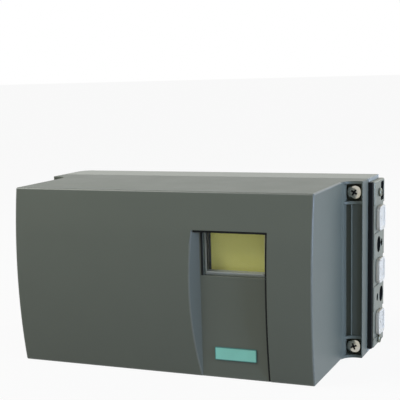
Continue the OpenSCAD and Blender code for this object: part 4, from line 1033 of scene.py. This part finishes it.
# Nodes whose own shape is right, by finish
ROUNDED = {
    "seal_rubber": ["cover_seal", "shaft_seal", "block_seal", "gland_seal", "entry_seals", "window_seal"],
    "bronze": ["shaft_bush_rear", "shaft_bush_front", "exhaust_silencer"],
    "brass": ["mounting_inserts", "cover_inserts", "board_standoffs", "restrictor_upper", "restrictor_lower"],
    "block_metal": ["valve_manifold"],
    "plain_steel": ["feedback_shaft", "pot_shaft", "pot_bracket", "shield_plate", "clutch_spring",
                    "shaft_circlip"],
    "black_plastic": ["board_components", "pilot_valve_upper", "pilot_valve_lower", "gland_body", "gland_nut",
                      "blanking_plug", "electronics_carrier", "tact_switches"],
    "pot_plastic": ["potentiometer"],
    "board_green": ["main_board"],
    "terminal_green": ["terminal_block"],
    "gear_nylon": ["drive_gear", "pot_pinion"],
    "yellow_plastic": ["friction_wheel", "ratio_selector", "purge_selector"],
    "button_grey": ["button_mode", "button_down", "button_up"],
    "display_frame": ["lcd_module"],
    "display_glass": ["lcd_glass"],
    "white_plastic": ["screw_retainers"],
}

# Roundings of the pieces that are thicker than sheet
THICK_ROUND = {
    "friction_wheel": 0.3 * MM, "button_mode": 0.5 * MM, "button_down": 0.5 * MM, "button_up": 0.5 * MM,
    "valve_manifold": 0.4 * MM, "pilot_valve_upper": 0.4 * MM, "pilot_valve_lower": 0.4 * MM,
    "gland_nut": 0.6 * MM, "gland_body": 0.4 * MM, "blanking_plug": 0.5 * MM, "potentiometer": 0.3 * MM,
    "lcd_module": 0.3 * MM, "electronics_carrier": 0.2 * MM, "terminal_block": 0.2 * MM,
}

# Screws: finish, head radius and thickness, shank radius, and the side of the head
SCREWS = {
    "cover_screws": ("screw_steel", 4.08 * MM, 3.0 * MM, 2.0 * MM, TO_FRONT),
    "manifold_screws": ("screw_steel", 3.5 * MM, 3.0 * MM, 2.0 * MM, TO_FRONT),
    "bracket_screws": ("screw_steel", 2.25 * MM, 1.5 * MM, 1.25 * MM, TO_FRONT),
    "carrier_screws": ("screw_steel", 2.25 * MM, 1.5 * MM, 1.25 * MM, TO_FRONT),
    "shield_screws": ("screw_steel", 2.25 * MM, 1.5 * MM, 1.25 * MM, TO_FRONT),
    "terminal_screws": ("screw_steel", 2.2 * MM, 1.8 * MM, 1.6 * MM, TO_FRONT),
    "block_screws": ("dull_steel", 2.25 * MM, 1.5 * MM, 1.25 * MM, TO_RIGHT),
}

bpy.context.scene.view_settings.view_transform = "Standard"
photo_camera()
floor()
surroundings()
for settings in LAMPS:
    lamp(*settings)

# The cover's outer edges and the band's left edge are painted paler as a highlight.
soften("cover_shell", "cover_plastic", FINE_ROUND, (on_cover_corner, CASE_ROUND, "cover_painted_highlight"),
       (on_band_side, BAND_ROUND, "cover_painted_highlight"))
soften("base_housing", "base_plastic", FINE_ROUND, (on_base_corner, CASE_ROUND, "base_plastic"))
block = soften("pneumatic_block", "block_metal", FINE_ROUND, (on_block_corner, BLOCK_ROUND, "block_metal"),
               cutter=block_slot())
# The block's blind holes and slot are painted black inside as shade.
accent(block, "seal_rubber", in_side_hole)
display_pane()
# A black strip that paints the shadow in the groove left of the pane.
pane_shadow_strip()
# Black strips that paint the shadow lines along the band's right wall and above the window.
bow_shadow_strip("band_painted_shadow", BAND_RIGHT - BAND_SHADOW_WIDE, BAND_RIGHT - SHADOW_STRIP_GAP, COVER_LOW.z + SHADOW_STRIP_FOOT,
        BAND_TOP - WINDOW_SHADOW_HIGH)
bow_shadow_strip("window_painted_shadow", BAND_LEFT - WINDOW_SHADOW_PAST, BAND_RIGHT - SHADOW_STRIP_GAP, BAND_TOP - WINDOW_SHADOW_HIGH,
        BAND_TOP - SHADOW_STRIP_GAP)
for finish, nodes in ROUNDED.items():
    for node in nodes:
        soften(node, finish, THICK_ROUND.get(node, SHEET_ROUND))
for node, settings in SCREWS.items():
    screws(node, *settings)
for node in PLUGS:
    dust_plug(node)
blank_plate("name_plate")
# The bezel's wider right side paints the shadow line along the window's right side.
display_bezel()
button_mark("button_mode", 4, 0)
button_mark("button_down", 3, pi)
button_mark("button_up", 3, 0)
